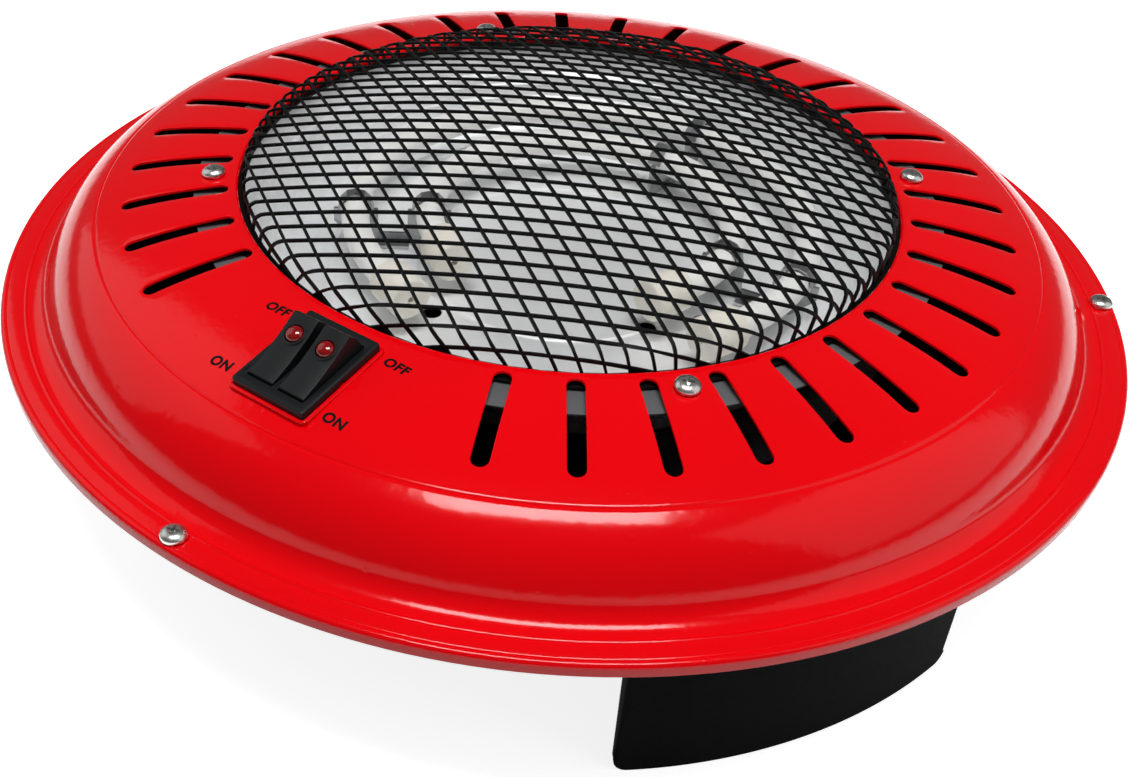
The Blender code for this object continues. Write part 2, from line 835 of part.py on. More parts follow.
def open_gaps(bm, cells):
    """Cuts a gap into each cell with room for one, and leaves the strands between them."""
    roomy = [cell for cell in cells if 2 * cell.calc_area() > guard_least_room * cell.calc_perimeter()]
    bmesh.ops.inset_individual(bm, faces=roomy, thickness=guard_strand / 2, use_even_offset=True)
    bmesh.ops.delete(bm, geom=roomy, context="FACES_ONLY")


def make_guard():
    """The domed mesh: an expanded sheet drawn down round its edge and out into a flange."""
    crown, edge, wall = guard_lengths()
    bm = guard_cells()
    bmesh.ops.remove_doubles(bm, verts=bm.verts, dist=guard_weld)
    split_at_circle(bm, (crown + edge) / 2)
    cells = list(bm.faces)
    border = [item for item in bm.edges if item.is_boundary]
    grown = bmesh.ops.extrude_edge_only(bm, edges=border)["geom"]
    for item in grown:
        if isinstance(item, bmesh.types.BMVert):
            item.co = item.co.normalized() * (wall + guard_flange_radius - guard_wall_radius)
    open_gaps(bm, cells)
    for vert in bm.verts:
        away = vert.co.normalized()
        radius, rise = guard_point(vert.co.length)
        vert.co = Vector((away.x * radius, away.y * radius, rise))
    guard = add_object("mesh_guard", bm, "black_paint", centre_frame())
    sheet = guard.modifiers.new("Sheet", "SOLIDIFY")
    sheet.thickness = guard_sheet
    sheet.offset = -1


def join_rings(bm, outer_edges, bore_edges):
    """Closes a tube's end between its outer ring and its bore, from corner to nearest corner."""
    inner = {vert for edge in bore_edges for vert in edge.verts}
    for edge in outer_edges:
        first, second = edge.verts
        third, fourth = [min(inner, key=lambda vert: (vert.co - corner.co).length)
                         for corner in (second, first)]
        bm.faces.new((first, second, third, fourth))


def bent_tube(ring_radius, angles, outer, bore, straight, sides):
    """A tube along most of a ring, with straight ends. With no bore it is solid."""
    bm = bmesh.new()
    start, end = angles
    steps = max(2, round((end - start) / tube_step_angle))
    open_ends = []
    for radius in [outer] + ([bore] if bore else []):
        made = bmesh.ops.create_circle(bm, segments=sides, radius=radius)["verts"]
        place = Matrix.Translation((straight, -ring_radius, 0)) @ Matrix.Rotation(math.pi / 2, 4, "Y")
        bmesh.ops.transform(bm, matrix=place, verts=made)
        edges = list({edge for vert in made for edge in vert.link_edges})
        open_ends.append(edges)
        grown = bmesh.ops.extrude_edge_only(bm, edges=edges)["geom"]
        verts = [item for item in grown if isinstance(item, bmesh.types.BMVert)]
        bmesh.ops.translate(bm, verts=verts, vec=(-straight, 0, 0))
        loop = [item for item in grown if isinstance(item, bmesh.types.BMEdge)
                and all(vert in verts for vert in item.verts)]
        swept = bmesh.ops.spin(
            bm, geom=verts + loop, axis=(0, 0, 1), cent=(0, 0, 0), angle=start - end, steps=steps,
        )["geom_last"]
        last = [item for item in swept if isinstance(item, bmesh.types.BMEdge)]
        grown = bmesh.ops.extrude_edge_only(bm, edges=last)["geom"]
        verts = [item for item in grown if isinstance(item, bmesh.types.BMVert)]
        ahead = Matrix.Rotation(start - end, 3, "Z") @ Vector((-straight, 0, 0))
        bmesh.ops.translate(bm, verts=verts, vec=ahead)
        open_ends.append([item for item in grown if isinstance(item, bmesh.types.BMEdge)
                          and all(vert in verts for vert in item.verts)])
    if bore:
        for near, far in ((0, 2), (1, 3)):
            join_rings(bm, open_ends[near], open_ends[far])
    else:
        bmesh.ops.holes_fill(bm, edges=open_ends[0] + open_ends[1])
    bmesh.ops.rotate(bm, verts=bm.verts, cent=(0, 0, 0), matrix=Matrix.Rotation(-start, 3, "Z"))
    return bm


def ring_frame():
    """Frame on the rings' shared centre, level with the rim's lower edge."""
    return Matrix.Translation((0, ring_setback, rim_height))


def cap_frames(ring_radius, angles):
    """Frames at both ends of a tube. Z points out of the tube, and the origin is at its end."""
    frames = []
    for angle, side in zip(angles, (1, -1)):
        turn = Matrix.Rotation(-angle, 4, "Z")
        place = Matrix.Translation((side * tube_straight, -ring_radius, tube_rise))
        frames.append(ring_frame() @ turn @ place @ Matrix.Rotation(side * math.pi / 2, 4, "Y"))
    return frames


def make_heating_ring(label, ring_radius, angles):
    """One quartz tube with the coil inside it and a ceramic cap on each end."""
    height = ring_frame() @ Matrix.Translation((0, 0, tube_rise))
    tube = bent_tube(ring_radius, angles, tube_radius, tube_bore_radius, tube_straight, tube_sides)
    add_object(f"{label}_quartz_tube", tube, "frosted_quartz", height)
    coil = bent_tube(ring_radius, angles, coil_radius, None, tube_straight, coil_sides)
    add_object(f"{label}_heating_coil", coil, "resistance_wire", height)
    socket = tube_radius + fit_gap
    outline = [
        (socket, -cap_socket), (cap_radius, -cap_socket), (cap_radius, cap_length - cap_socket),
        (cap_lead_radius, cap_length - cap_socket), (cap_lead_radius, fit_gap), (socket, fit_gap),
    ]
    for number, place in enumerate(cap_frames(ring_radius, angles), 1):
        bm = turned(outline, cap_steps)
        add_object(f"{label}_end_cap_{number}", bm, "cream_ceramic", place)


def notch_radius(ring_radius):
    """Radius of the seat round a tube, with room for the straight steps that the tube bends in."""
    return tube_radius + fit_gap + ring_radius * (1 - math.cos(tube_step_angle / 2))


def bracket_outline():
    """A plate with a notch under each tube, in radius and rise, drawn for the frame at -Y."""
    outer_end = outer_ring_radius + notch_radius(outer_ring_radius) + bracket_post
    inner_start = inner_ring_radius + notch_radius(inner_ring_radius) + bracket_post
    low = reflector_floor_rise + fit_gap
    bar = low + bracket_bar
    points = [
        (outer_ring_radius, low),
        (outer_end, tube_rise - tube_radius),
        (outer_end, tube_rise),
    ]
    for ring_radius in (outer_ring_radius, inner_ring_radius):
        notch = notch_radius(ring_radius)
        for step in range(bracket_notch_steps + 1):
            angle = math.pi * step / bracket_notch_steps
            points.append((ring_radius + notch * math.cos(angle), tube_rise - notch * math.sin(angle)))
        points.append((ring_radius - notch - bracket_post, tube_rise))
        if ring_radius == outer_ring_radius:
            points.append((ring_radius - notch - bracket_post, bar))
            points.append((inner_start, bar))
            points.append((inner_start, tube_rise))
    points.append((inner_ring_radius - notch - bracket_post, low))
    return points


def clip_outline(ring_radius):
    """A thin arch over a tube, whose ends stand on the bracket beside the notch."""
    points = []
    inner = notch_radius(ring_radius)
    for radius, order in ((inner, 1), (inner + clip_sheet, -1)):
        for step in range(clip_steps + 1)[::order]:
            angle = math.pi * step / clip_steps
            points.append((radius * math.cos(angle), radius * math.sin(angle)))
    return points


def make_brackets():
    """Three notched brackets on the reflector's floor, with a spring clip over each tube."""
    upright = Matrix(((0, 0, 1, 0), (-1, 0, 0, 0), (0, 1, 0, 0), (0, 0, 0, 1)))
    middle = (outer_ring_radius + inner_ring_radius) / 2
    tab_rise = reflector_floor_rise + fit_gap + bracket_sheet / 2
    for number, angle in enumerate(bracket_angles, 1):
        turn = ring_frame() @ Matrix.Rotation(-angle, 4, "Z")
        plate = bmesh.new()
        side = Matrix.Translation((-bracket_sheet / 2, 0, 0))
        add_prism(plate, bracket_outline(), bracket_sheet, side @ upright)
        bracket = add_object(f"tube_bracket_{number}", plate, "galvanised_steel", turn)
        tab = bmesh.new()
        add_block(tab, (bracket_tab_width, bracket_tab_length, bracket_sheet), (0, -middle, tab_rise))
        combine(bracket, add_cutter(f"bracket_tab_{number}", tab, turn), "UNION")
        for label, ring_radius in (("inner", inner_ring_radius), ("outer", outer_ring_radius)):
            clip = bmesh.new()
            seat = Matrix.Translation((-clip_width / 2, -ring_radius, tube_rise + fit_gap))
            add_prism(clip, clip_outline(ring_radius), clip_width, seat @ upright)
            add_object(f"{label}_tube_clip_{number}", clip, "galvanised_steel", turn)


def body_depth():
    """Depth of the switch's body under the cover."""
    return well_depth() - flush_height() + body_floor


def make_housing():
    """The switch's bezel and body in one moulding, with a well for each rocker."""
    bm = bmesh.new()
    size = (body_width() + 2 * bezel_side, body_length() + 2 * bezel_end, bezel_height)
    add_block(bm, size, (0, 0, bezel_height / 2 + fit_gap))
    edges = [edge for edge in bm.edges if sum(vert.co.z for vert in edge.verts) > bezel_height]
    bmesh.ops.bevel(
        bm, geom=edges, offset=bezel_bevel, segments=bezel_bevel_steps, profile=0.5,
        affect="EDGES", material=-1,
    )
    housing = add_object("switch_housing", bm, "charcoal_plastic", switch_frame())
    body = bmesh.new()
    top = fit_gap + bezel_height / 2
    add_block(body, (body_width(), body_length(), top + body_depth()), (0, 0, (top - body_depth()) / 2))
    combine(housing, add_cutter("switch_body", body, switch_frame()), "UNION")
    wells = bmesh.new()
    high = flush_height() + cut_overrun
    low = flush_height() - well_depth()
    for side in (-1, 1):
        middle = (side * rocker_offset(), 0, (high + low) / 2)
        add_block(wells, (well_width(), well_length(), high - low), middle)
    combine(housing, add_cutter("switch_wells", wells, switch_frame()), "DIFFERENCE")
    bore = bmesh.new()
    add_rod(bore, pin_radius + pin_play, body_width() + 2 * cut_overrun, small_steps, pin_frame(cut_overrun))
    combine(housing, add_cutter("housing_bore", bore, Matrix.Identity(4)), "DIFFERENCE")


def flush_height():
    """Height of the bezel's top over the switch's frame."""
    return fit_gap + bezel_height


def pivot_frame():
    """Frame on the rockers' shared pivot, turned as the bezel is."""
    return switch_frame() @ Matrix.Translation((0, 0, flush_height() - rocker_pivot_depth))


def pin_frame(overrun):
    """Frame at the pin's -X end, with Z along the pin, moved out by the overrun."""
    shift = Matrix.Translation((-body_width() / 2 - overrun, 0, 0))
    return pivot_frame() @ shift @ Matrix.Rotation(math.pi / 2, 4, "Y")


def rocker_top(share):
    """Height of a rocker's dished top over its pivot, at this share of its half chord."""
    return rocker_height - rocker_dish * (1 - share ** 2)


def rocker_outline():
    """A rocker's side at mid swing: a dished top, round ends about the pivot and a flat bottom."""
    half = rocker_chord / 2
    shares = [2 * step / rocker_top_steps - 1 for step in range(rocker_top_steps)]
    points = [(half * share, rocker_top(share)) for share in shares]
    top_angle = math.atan2(rocker_height, half)
    sweep = (top_angle + rocker_skirt_angle) / rocker_skirt_steps
    end = [top_angle - sweep * step for step in range(rocker_skirt_steps + 1)]
    for side, angles in ((1, end), (-1, end[::-1])):
        for angle in angles:
            along = side * rocker_end_radius() * math.cos(angle)
            points.append((along, rocker_end_radius() * math.sin(angle)))
    return points[:-1]


def make_rocker(label, side):
    """One rocker and its lens, at rest with its outer end pressed."""
    offset = Matrix.Translation((side * rocker_offset(), 0, 0))
    rest = pivot_frame() @ offset @ Matrix.Rotation(rocker_half_swing, 4, "X")
    across = Matrix(((0, 0, 1, 0), (1, 0, 0, 0), (0, 1, 0, 0), (0, 0, 0, 1)))
    bm = bmesh.new()
    add_prism(bm, rocker_outline(), rocker_width, Matrix.Translation((-rocker_width / 2, 0, 0)) @ across)
    rocker = add_object(f"rocker_{label}", bm, "charcoal_plastic", rest)
    bore = bmesh.new()
    start = Matrix.Translation((-rocker_width / 2 - cut_overrun, 0, 0))
    length = rocker_width + 2 * cut_overrun
    add_rod(bore, pin_radius + pin_play, length, small_steps, start @ Matrix.Rotation(math.pi / 2, 4, "Y"))
    combine(rocker, add_cutter(f"rocker_bore_{label}", bore, rest), "DIFFERENCE")
    top = rocker_top(2 * lens_reach / rocker_chord)
    lens_place = rest @ Matrix.Translation((0, lens_reach, top))
    recess = bmesh.new()
    below = Matrix.Translation((0, 0, -lens_depth - fit_gap))
    add_rod(recess, lens_radius + fit_gap, lens_depth + cut_overrun, cap_steps, below)
    combine(rocker, add_cutter(f"lens_recess_{label}", recess, lens_place), "DIFFERENCE")
    make_lens(label, lens_place)


def make_lens(label, place):
    """A red dome on a short round stem."""
    outline = [(0, -lens_depth), (lens_radius, -lens_depth)]
    for step in range(lens_dome_steps):
        angle = math.pi / 2 * step / lens_dome_steps
        outline.append((lens_radius * math.cos(angle), lens_dome * math.sin(angle)))
    outline.append((0, lens_dome))
    add_object(f"lens_{label}", turned(outline, cap_steps), "red_lens", place)


def make_switch():
    make_housing()
    make_rocker("left", -1)
    make_rocker("right", 1)
    pin = bmesh.new()
    add_rod(pin, pin_radius, body_width(), small_steps, Matrix.Identity(4))
    add_object("rocker_pin", pin, "zinc_plate", pin_frame(0.0))


def gland_frame():
    """Frame inside the pan's wall, in the middle of a flat of it, with Z pointing straight out."""
    flat = full_turn / plain_steps
    angle = (math.floor(gland_angle / flat) + 0.5) * flat
    radius = pan_wall_radius * math.cos(flat / 2) - pan_sheet / 2
    place = frame_at(radius, angle, gland_rise)
    return place @ Matrix.Rotation(math.pi / 2, 4, "X")


def make_gland():
    """The cord's inlet: a bush with a flange on each side of the pan's wall."""
    half = pan_sheet / 2 + fit_gap
    outline = [
        (gland_bore_radius, -half - gland_flange_sheet), (gland_flange_radius, -half - gland_flange_sheet),
        (gland_flange_radius, -half), (gland_barrel_radius, -half), (gland_barrel_radius, half),
        (gland_flange_radius, half), (gland_flange_radius, half + gland_flange_sheet),
        (gland_bore_radius, half + gland_flange_sheet),
    ]
    add_object("cord_gland", turned(outline, cap_steps), "black_paint", gland_frame())


def make_terminal_block():
    """A moulded block with a through way for each conductor."""
    rise = pan_floor_rise + pan_sheet + fit_gap
    place = frame_at(block_circle_radius, block_angle, rise)
    bm = bmesh.new()
    add_block(bm, (block_length, block_width, block_height), (0, 0, block_height / 2))
    bmesh.ops.bevel(
        bm, geom=list(bm.edges), offset=block_bevel, segments=1, profile=0.5,
        affect="EDGES", material=-1,
    )
    block = add_object("terminal_block", bm, "white_plastic", place)
    ways = bmesh.new()
    pitch = block_length / block_ways
    for way in range(block_ways):
        middle = (way - (block_ways - 1) / 2) * pitch
        start = Matrix.Translation((middle, block_width / 2 + cut_overrun, block_height / 2))
        aim = start @ Matrix.Rotation(math.pi / 2, 4, "X")
        add_rod(ways, block_way_radius, block_width + 2 * cut_overrun, small_steps, aim)
    combine(block, add_cutter("block_ways", ways, place), "DIFFERENCE")


def make_cutout():
    """The thermal cut-out, a stepped round can on the heat shield."""
    low = shield_rise + shield_sheet + fit_gap
    neck = cutout_radius - cutout_step
    outline = [
        (0, low), (cutout_radius, low), (cutout_radius, low + cutout_step),
        (neck, low + cutout_step), (neck, low + cutout_height), (0, low + cutout_height),
    ]
    place = frame_at(cutout_circle_radius, cutout_angle, 0.0)
    add_object("thermal_cutout", turned(outline, cap_steps), "zinc_plate", place)


def make_earth_screw():
    """The earth screw in the pan's floor, beside the terminal block."""
    place = frame_at(earth_circle_radius, earth_angle, pan_floor_rise + pan_sheet + fit_gap)
    bm = turned(screw_outline(screw_length), small_steps)
    add_object("earth_screw", bm, "zinc_plate", place)


def main():
    clear_scene()
    make_cover()
    make_top_screws()
    make_flange_screws()
    make_pan()
    make_feet()
    make_rivets()
    make_shield()
    make_reflector()
    make_guard()
    make_heating_ring("outer", outer_ring_radius, outer_ring_angles)
    make_heating_ring("inner", inner_ring_radius, inner_ring_angles)
    make_brackets()
    make_switch()
    make_gland()
    make_terminal_block()
    make_cutout()
    make_earth_screw()


main()
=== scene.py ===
import json
import math

import bmesh
import bpy
from bpy.props import FloatProperty, FloatVectorProperty, PointerProperty
from mathutils import Matrix, Vector


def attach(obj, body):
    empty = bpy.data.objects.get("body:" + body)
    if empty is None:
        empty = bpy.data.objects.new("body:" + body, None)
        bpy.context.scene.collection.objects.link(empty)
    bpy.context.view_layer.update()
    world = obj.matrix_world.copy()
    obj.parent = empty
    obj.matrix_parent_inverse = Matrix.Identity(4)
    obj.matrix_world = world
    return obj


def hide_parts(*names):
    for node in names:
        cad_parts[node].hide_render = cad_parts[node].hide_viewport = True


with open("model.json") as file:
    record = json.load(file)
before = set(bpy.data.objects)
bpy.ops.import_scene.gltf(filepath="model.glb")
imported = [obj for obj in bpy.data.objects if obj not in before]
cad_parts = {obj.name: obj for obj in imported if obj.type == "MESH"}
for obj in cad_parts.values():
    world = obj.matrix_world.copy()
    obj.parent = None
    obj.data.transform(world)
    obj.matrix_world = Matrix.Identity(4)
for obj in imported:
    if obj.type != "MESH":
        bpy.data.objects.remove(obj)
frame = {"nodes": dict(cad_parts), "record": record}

bl_info = {
    "name": "Electric brazier",
    "version": (1, 0, 0),
    "blender": (4, 5, 0),
    "location": "3D View > Sidebar > Brazier",
    "description": "Dresses the frame of a round electric brazier with its finished pieces",
    "category": "Object",
}


def linear(code):
    """An sRGB hex colour as linear red, green and blue."""
    parts = [int(code[i : i + 2], 16) / 255 for i in (1, 3, 5)]
    return tuple(p / 12.92 if p <= 0.04045 else ((p + 0.055) / 1.055) ** 2.4 for p in parts)


def mm(length):
    """Millimetres as metres."""
    return length / 1000


def colour_property(name, description, code):
    """A colour that is written as sRGB hex."""
    return FloatVectorProperty(name=name, description=description, subtype="COLOR", size=3,
                               min=0.0, max=1.0, default=linear(code))


def length_property(name, description, millimetres):
    """A length that is written in millimetres."""
    return FloatProperty(name=name, description=description, subtype="DISTANCE", unit="LENGTH",
                         precision=5, default=mm(millimetres))


def angle_property(name, description, degrees):
    """An angle that is written in degrees."""
    return FloatProperty(name=name, description=description, subtype="ANGLE", unit="ROTATION",
                         default=math.radians(degrees))


class BrazierFinishes(bpy.types.PropertyGroup):
    enamel: colour_property("Enamel", "Red of the enamelled cover", "#E2000A")
    paint: colour_property("Paint", "Black of the pan and the feet", "#020202")
    guard: colour_property("Guard", "Black of the mesh guard", "#040404")
    plastic: colour_property("Plastic", "Charcoal of the rocker switch", "#0D1112")
    ink: colour_property("Ink", "Black of the printed words", "#080606")
    lens: colour_property("Lenses", "Red of the neon lenses", "#9A060A")
    ceramic: colour_property("Ceramic", "Cream of the tubes' end caps", "#F3EEE2")
    quartz: colour_property("Quartz", "White of the frosted tubes", "#F4F4F0")
    aluminium: colour_property("Aluminium", "Bright metal of the bowl", "#F6F7F8")
    # Painted shade: a dark grey for the bowl's flange, which lies in shade under the cover
    flange_shade: colour_property("Painted flange shade", "Painted shade on the bowl's flange under the cover", "#6E7072")
    galvanised: colour_property("Galvanised sheet", "Grey of the galvanised sheet", "#8E9092")
    spangle: colour_property("Spangle", "Light spangle on the galvanised sheet", "#B4B6B8")
    wire: colour_property("Wire", "Grey of the heating coils", "#8A8580")
    oxide: colour_property("Oxide", "Brown oxide on the coils", "#6B5F55")
    block: colour_property("Terminal block", "White of the terminal block", "#E4E4E0")
    gland: colour_property("Gland", "Black of the cord's gland", "#161617")
    zinc: colour_property("Zinc", "Bright metal of the screws", "#CFCFCB")


class BrazierSizes(bpy.types.PropertyGroup):
    floor: length_property("Floor", "Half the floor's width", 4000)
    gap: length_property("Fit gap", "Gap between pieces that fit together", 0.3)
    rim_height: length_property("Rim height", "The rim's lower edge over the floor", 61.1)
    rim: length_property("Rim radius", "Radius of the cover's rolled rim", 195.0)
    sheet: length_property("Cover sheet", "Thickness of the cover", 0.8)
    flange_start: length_property("Flange start", "Radius where the flange begins", 186.0)
    flange_rise: length_property("Flange rise", "Flange over the rim's lower edge", 4.4)
    rim_roll: length_property("Rim roll", "Radius of the rolled edge", 1.6)
    wall_foot: length_property("Wall foot", "Radius at the foot of the steep wall", 178.4)
    wall_foot_rise: length_property("Wall foot rise", "Foot of the wall over the rim's edge", 9.3)
    crease: length_property("Crease", "Radius of the crease outside the slots", 161.3)
    opening: length_property("Opening", "Radius of the round opening", 113.5)
    opening_rise: length_property("Opening rise", "Opening's edge over the rim's edge", 36.5)
    ring_fall: length_property("Ring fall", "How far the slotted ring falls evenly", 4.7)
    ring_dip: length_property("Ring dip", "How far it bends down besides", 4.0)
    lip: length_property("Lip", "Depth of the turned-down lip", 2.3)
    lip_roll: length_property("Lip roll", "Radius where the lip turns down", 1.1)
    detail: length_property("Pressed detail", "Depth of the crease's groove", 0.28)
    slot_inner: length_property("Slot start", "Radius of the slots' inner ends", 116.6)
    slot_outer: length_property("Slot end", "Radius of the slots' outer ends", 152.5)
    slot_width: length_property("Slot width", "Width of a slot", 5.4)
    slot_first: angle_property("First slot", "Angle from the switch to the first slot", 25)
    slot_pitch: angle_property("Slot pitch", "Angle from slot to slot", 10)
    screw_head: length_property("Screw head", "Radius of a screw's head", 4.0)
    screw_height: length_property("Screw height", "Height of a screw's head", 2.5)
    screw_shank: length_property("Screw shank", "Radius of a screw's shank", 1.8)
    screw_length: length_property("Screw length", "Length of a screw's shank", 9.0)
    screw_hole: length_property("Screw hole", "Radius of a screw's hole", 2.5)
    top_screw: length_property("Top screws", "Radius of their circle", 121.9)
    flange_screw: length_property("Flange screws", "Radius of their circle", 190.2)
    mesh_long: length_property("Mesh length", "Long way of a diamond of the mesh", 13.9)
    mesh_short: length_property("Mesh width", "Short way of a diamond of the mesh", 8.35)
    mesh_turn: angle_property("Mesh turn", "How far the mesh is turned", -2)
    strand: length_property("Strand", "Width of the mesh's strands", 0.95)
    guard_sheet: length_property("Guard sheet", "Thickness of the mesh", 0.9)
    guard_height: length_property("Guard height", "Crown of the mesh over its flange", 20.7)
    guard_crown: length_property("Guard crown", "Rise of its domed middle", 11.2)
    guard_wall: length_property("Guard wall", "Radius of its wall", 112.0)
    guard_edge: length_property("Guard edge", "Radius of its rounded edge", 4.0)
    guard_flange: length_property("Guard flange", "Radius of its flange", 118.0)
    bowl_sheet: length_property("Bowl sheet", "Thickness of the reflector bowl", 0.5)
    bowl_floor: length_property("Bowl floor", "Radius of the bowl's floor", 97.5)
    bowl_floor_rise: length_property("Bowl floor rise", "Floor over the rim's lower edge", 0.9)
    bowl_toe: length_property("Bowl toe", "Slanted foot of the bowl's wall", 2.5)
    bowl_ledge: length_property("Bowl ledge", "Radius of the small ledge", 108.5)
    bowl_ledge_rise: length_property("Ledge rise", "Ledge over the rim's lower edge", 22.5)
    bowl_ledge_width: length_property("Ledge width", "Width of the ledge", 1.4)
    bowl_flange: length_property("Bowl flange", "Radius of the bowl's flange", 128.5)
    ring_setback: length_property("Ring setback", "Tubes' centre behind the axis", 11.5)
    tube_rise: length_property("Tube rise", "Tubes' middle over the rim's edge", 14.9)
    tube: length_property("Tube", "Outer radius of a tube", 5.0)
    tube_bore: length_property("Tube bore", "Inner radius of a tube", 3.9)
    tube_end: length_property("Tube end", "Straight length at a tube's ends", 9.0)
    outer_ring: length_property("Outer ring", "Radius of the outer tube's bend", 81.5)
    inner_ring: length_property("Inner ring", "Radius of the inner tube's bend", 55.0)
    cap: length_property("Cap", "Radius of an end cap", 7.5)
    cap_length: length_property("Cap length", "Length of an end cap", 15.0)
    cap_socket: length_property("Cap socket", "Depth of an end cap's socket", 8.0)
    cap_lead: length_property("Cap lead hole", "Radius of the lead's hole", 1.2)
    switch_radius: length_property("Switch place", "Switch's middle from the axis", 137.278)
    switch_shift: length_property("Switch shift", "Switch's middle to the right", 2.7)
    bezel_width: length_property("Bezel width", "Across both rockers", 26.9)
    bezel_length: length_property("Bezel length", "Along the rockers", 34.1)
    bezel_height: length_property("Bezel height", "Bezel's top over its seat", 2.5)
    well_width: length_property("Well width", "Width of a rocker's well", 9.7)
    well_length: length_property("Well length", "Length of a rocker's well", 26.9)
    well_depth: length_property("Well depth", "Depth of a rocker's well", 11.5)
    rocker_offset: length_property("Rocker offset", "Rocker's middle from the switch's", 5.8)
    rocker_width: length_property("Rocker width", "Width of a rocker", 9.1)
    rocker_chord: length_property("Rocker length", "Length of a rocker's top", 22.4)
    rocker_height: length_property("Rocker height", "Rocker's top over its pivot", 6.7)
    rocker_dish: length_property("Rocker dish", "Hollow of a rocker's top", 0.8)
    pivot_depth: length_property("Pivot depth", "Pivot under the bezel's top", 2.4)
    rocker_swing: angle_property("Rocker swing", "Half the swing of a rocker", 19)
    rocker_skirt: angle_property("Rocker skirt", "How far its ends reach under the pivot", 14)
    lens_radius: length_property("Lens", "Radius of a lens", 2.7)
    lens_dome: length_property("Lens dome", "Height of a lens over the rocker", 1.6)
    lens_depth: length_property("Lens depth", "Depth of a lens in the rocker", 2.4)
    lens_reach: length_property("Lens place", "Lens from the rocker's middle", 4.9)
    word_height: length_property("Word height", "Height of the printed words", 3.3)
    foot: length_property("Foot radius", "Radius of a foot's plate", 177.5)
    foot_sheet: length_property("Foot sheet", "Thickness of a foot", 1.5)
    foot_return: length_property("Foot return", "Depth of a foot's folded sides", 9.0)
    foot_corner: length_property("Foot corner", "Radius of a foot's lower corners", 4.5)
    foot_low: angle_property("Foot span low", "Half the span of a foot at its corners", 19.5)
    foot_high: angle_property("Foot span high", "Half the span of a foot at its top", 19.2)


# Distances under which points are one point, as a piece is finished and as it is turned
MERGE = mm(0.001)
MERGE_TURNED = mm(0.0001)

# Edges that turn by more than this are sharp
SHARP_ANGLE = math.radians(35)

# A rounded corner takes at most the shorter side's length over this
CORNER_ROOM = 2.2

# Least cosine of half a bend that a sheet's outline follows in full
MITRE_LIMIT = 0.5

# Places in degrees, clockwise from the switch. The rivets stand to both sides of a foot's middle.
TOP_SCREW_ANGLES = (50, 130, 230, 310)
FLANGE_SCREW_ANGLES = (0, 120, 240)
FOOT_ANGLES = (60, 180, 300)
RIVET_SPAN = 13
OUTER_TUBE_ENDS = (20, 288)
INNER_TUBE_ENDS = (32, 288)

# Cover: sides of the turned sheet, slots, and how far each bend of its section turns
TURN_STEPS = 216
SLOT_COUNT = 32
LIP_START = 1.1  # where the ring begins, in radii of the lip's roll from the opening
GROOVE_LEAN = 0.3  # how far the crease's groove leans inwards, in its depths
LIP_TURN = math.radians(95)
SHOULDER_TURN = math.radians(49)
WALL_FOOT_TURN = math.radians(72)
# The flange's bead and groove: distance from its start and rise, in depths of the crease's groove
FLANGE_TRIM = ((0.8, 0.9), (2.0, 1.2), (3.4, 0.9), (4.6, 0.0), (6.0, 0.0), (22.6, 0.0),
               (23.6, -0.6), (24.6, 0.0), (25.2, 0.0))

# Screws, as shares of the head's radius or of its height (rise and depth)
CROSS_ARM, CROSS_HALF, CROSS_DEPTH, CROSS_TOP, CROSS_TAPER = 0.52, 0.12, 0.85, 1.2, 0.55
CROWN_REACH, CROWN_RISE, SIDE_RISE = 0.35, 0.985, 0.42
EDGE_RISE, FOOT_REACH = 0.12, 0.96
HEAD_TURN = math.radians(62)
SCREW_TWIST = 0.7  # from screw to screw, in radians, as they are driven in by hand

# Guard: sides of the disc that trims it, and how roomy a diamond is that gets its hole
TRIM_SIDES = 72
ROOMY = 1.6

# Bowl: ridges as shares of the floor and of the wall, their depths in sheets, and the lead
# holes in millimetres
BOWL_STEPS = 180
FLOOR_RIDGES = (0.52, 0.86, 0.91)
FLOOR_RIDGE_HALF, FLOOR_RIDGE_DEPTH = 0.008, 0.7
WALL_RIDGES = (0.3, 0.55, 0.8)
WALL_RIDGE_HALF, WALL_RIDGE_DEPTH = 0.035, 0.9
LEAD_HOLES = ((-15.6, -55.7), (46.1, -15.7), (58.8, 0.4))

# Switch: the pad pressed up under it, its body, its edges and the marks on its bezel
PAD_BORDER, PAD_DEPTH, PAD_HEIGHT = mm(1.3), mm(1.5), mm(0.4)
BODY_WALL, BODY_DEPTH = mm(1), mm(8)
BEZEL_CORNER, BEZEL_EDGE = mm(1.0), mm(0.6)
WELL_CORNER, WELL_EDGE = mm(0.5), mm(0.25)
PIVOT_HOLE = mm(1.3)
MARK_SIZE = (mm(0.5), mm(2.4), mm(0.5))
MARK_PLACES = ((mm(-12.1), mm(-11.8)), (0, mm(-11.8)))
ROCKER_EDGE, ROCKER_END = mm(0.4), mm(0.3)
ROCKER_END_SHARE = 0.9  # of the rocker's height, over which an edge across it is an end
COLLAR_WIDTH, COLLAR_TOP, COLLAR_SIDE = mm(0.7), mm(0.4), mm(0.05)
COLLAR_HEIGHT, COLLAR_MOUTH = mm(0.35), mm(0.2)

# Words: name, text and middle in the switch's frame, in millimetres
WORDS = (("printed_off_left", "OFF", -24.4, 14.2), ("printed_off_right", "OFF", 21.0, 14.7),
         ("printed_on_left", "ON", -22.6, -12.2), ("printed_on_right", "ON", 20.0, -11.5))
CAPITAL_SHARE = 0.7  # height of a capital over the font's size
WORD_SPACING, WORD_BOLDNESS = 1.08, 0.055

# Feet: the pan's sheet over them, the radius of their folds and the holes for the rivets
PAN_SHEET, FOLD_RADIUS, RIVET_HOLE = mm(0.8), mm(1.2), mm(1.8)
PLATE_STEPS, CORNER_STEPS, SIDE_STEPS = 48, 8, 6
SIDE_TAPER = 0.3  # share of the folded side's depth that is left at its lower end

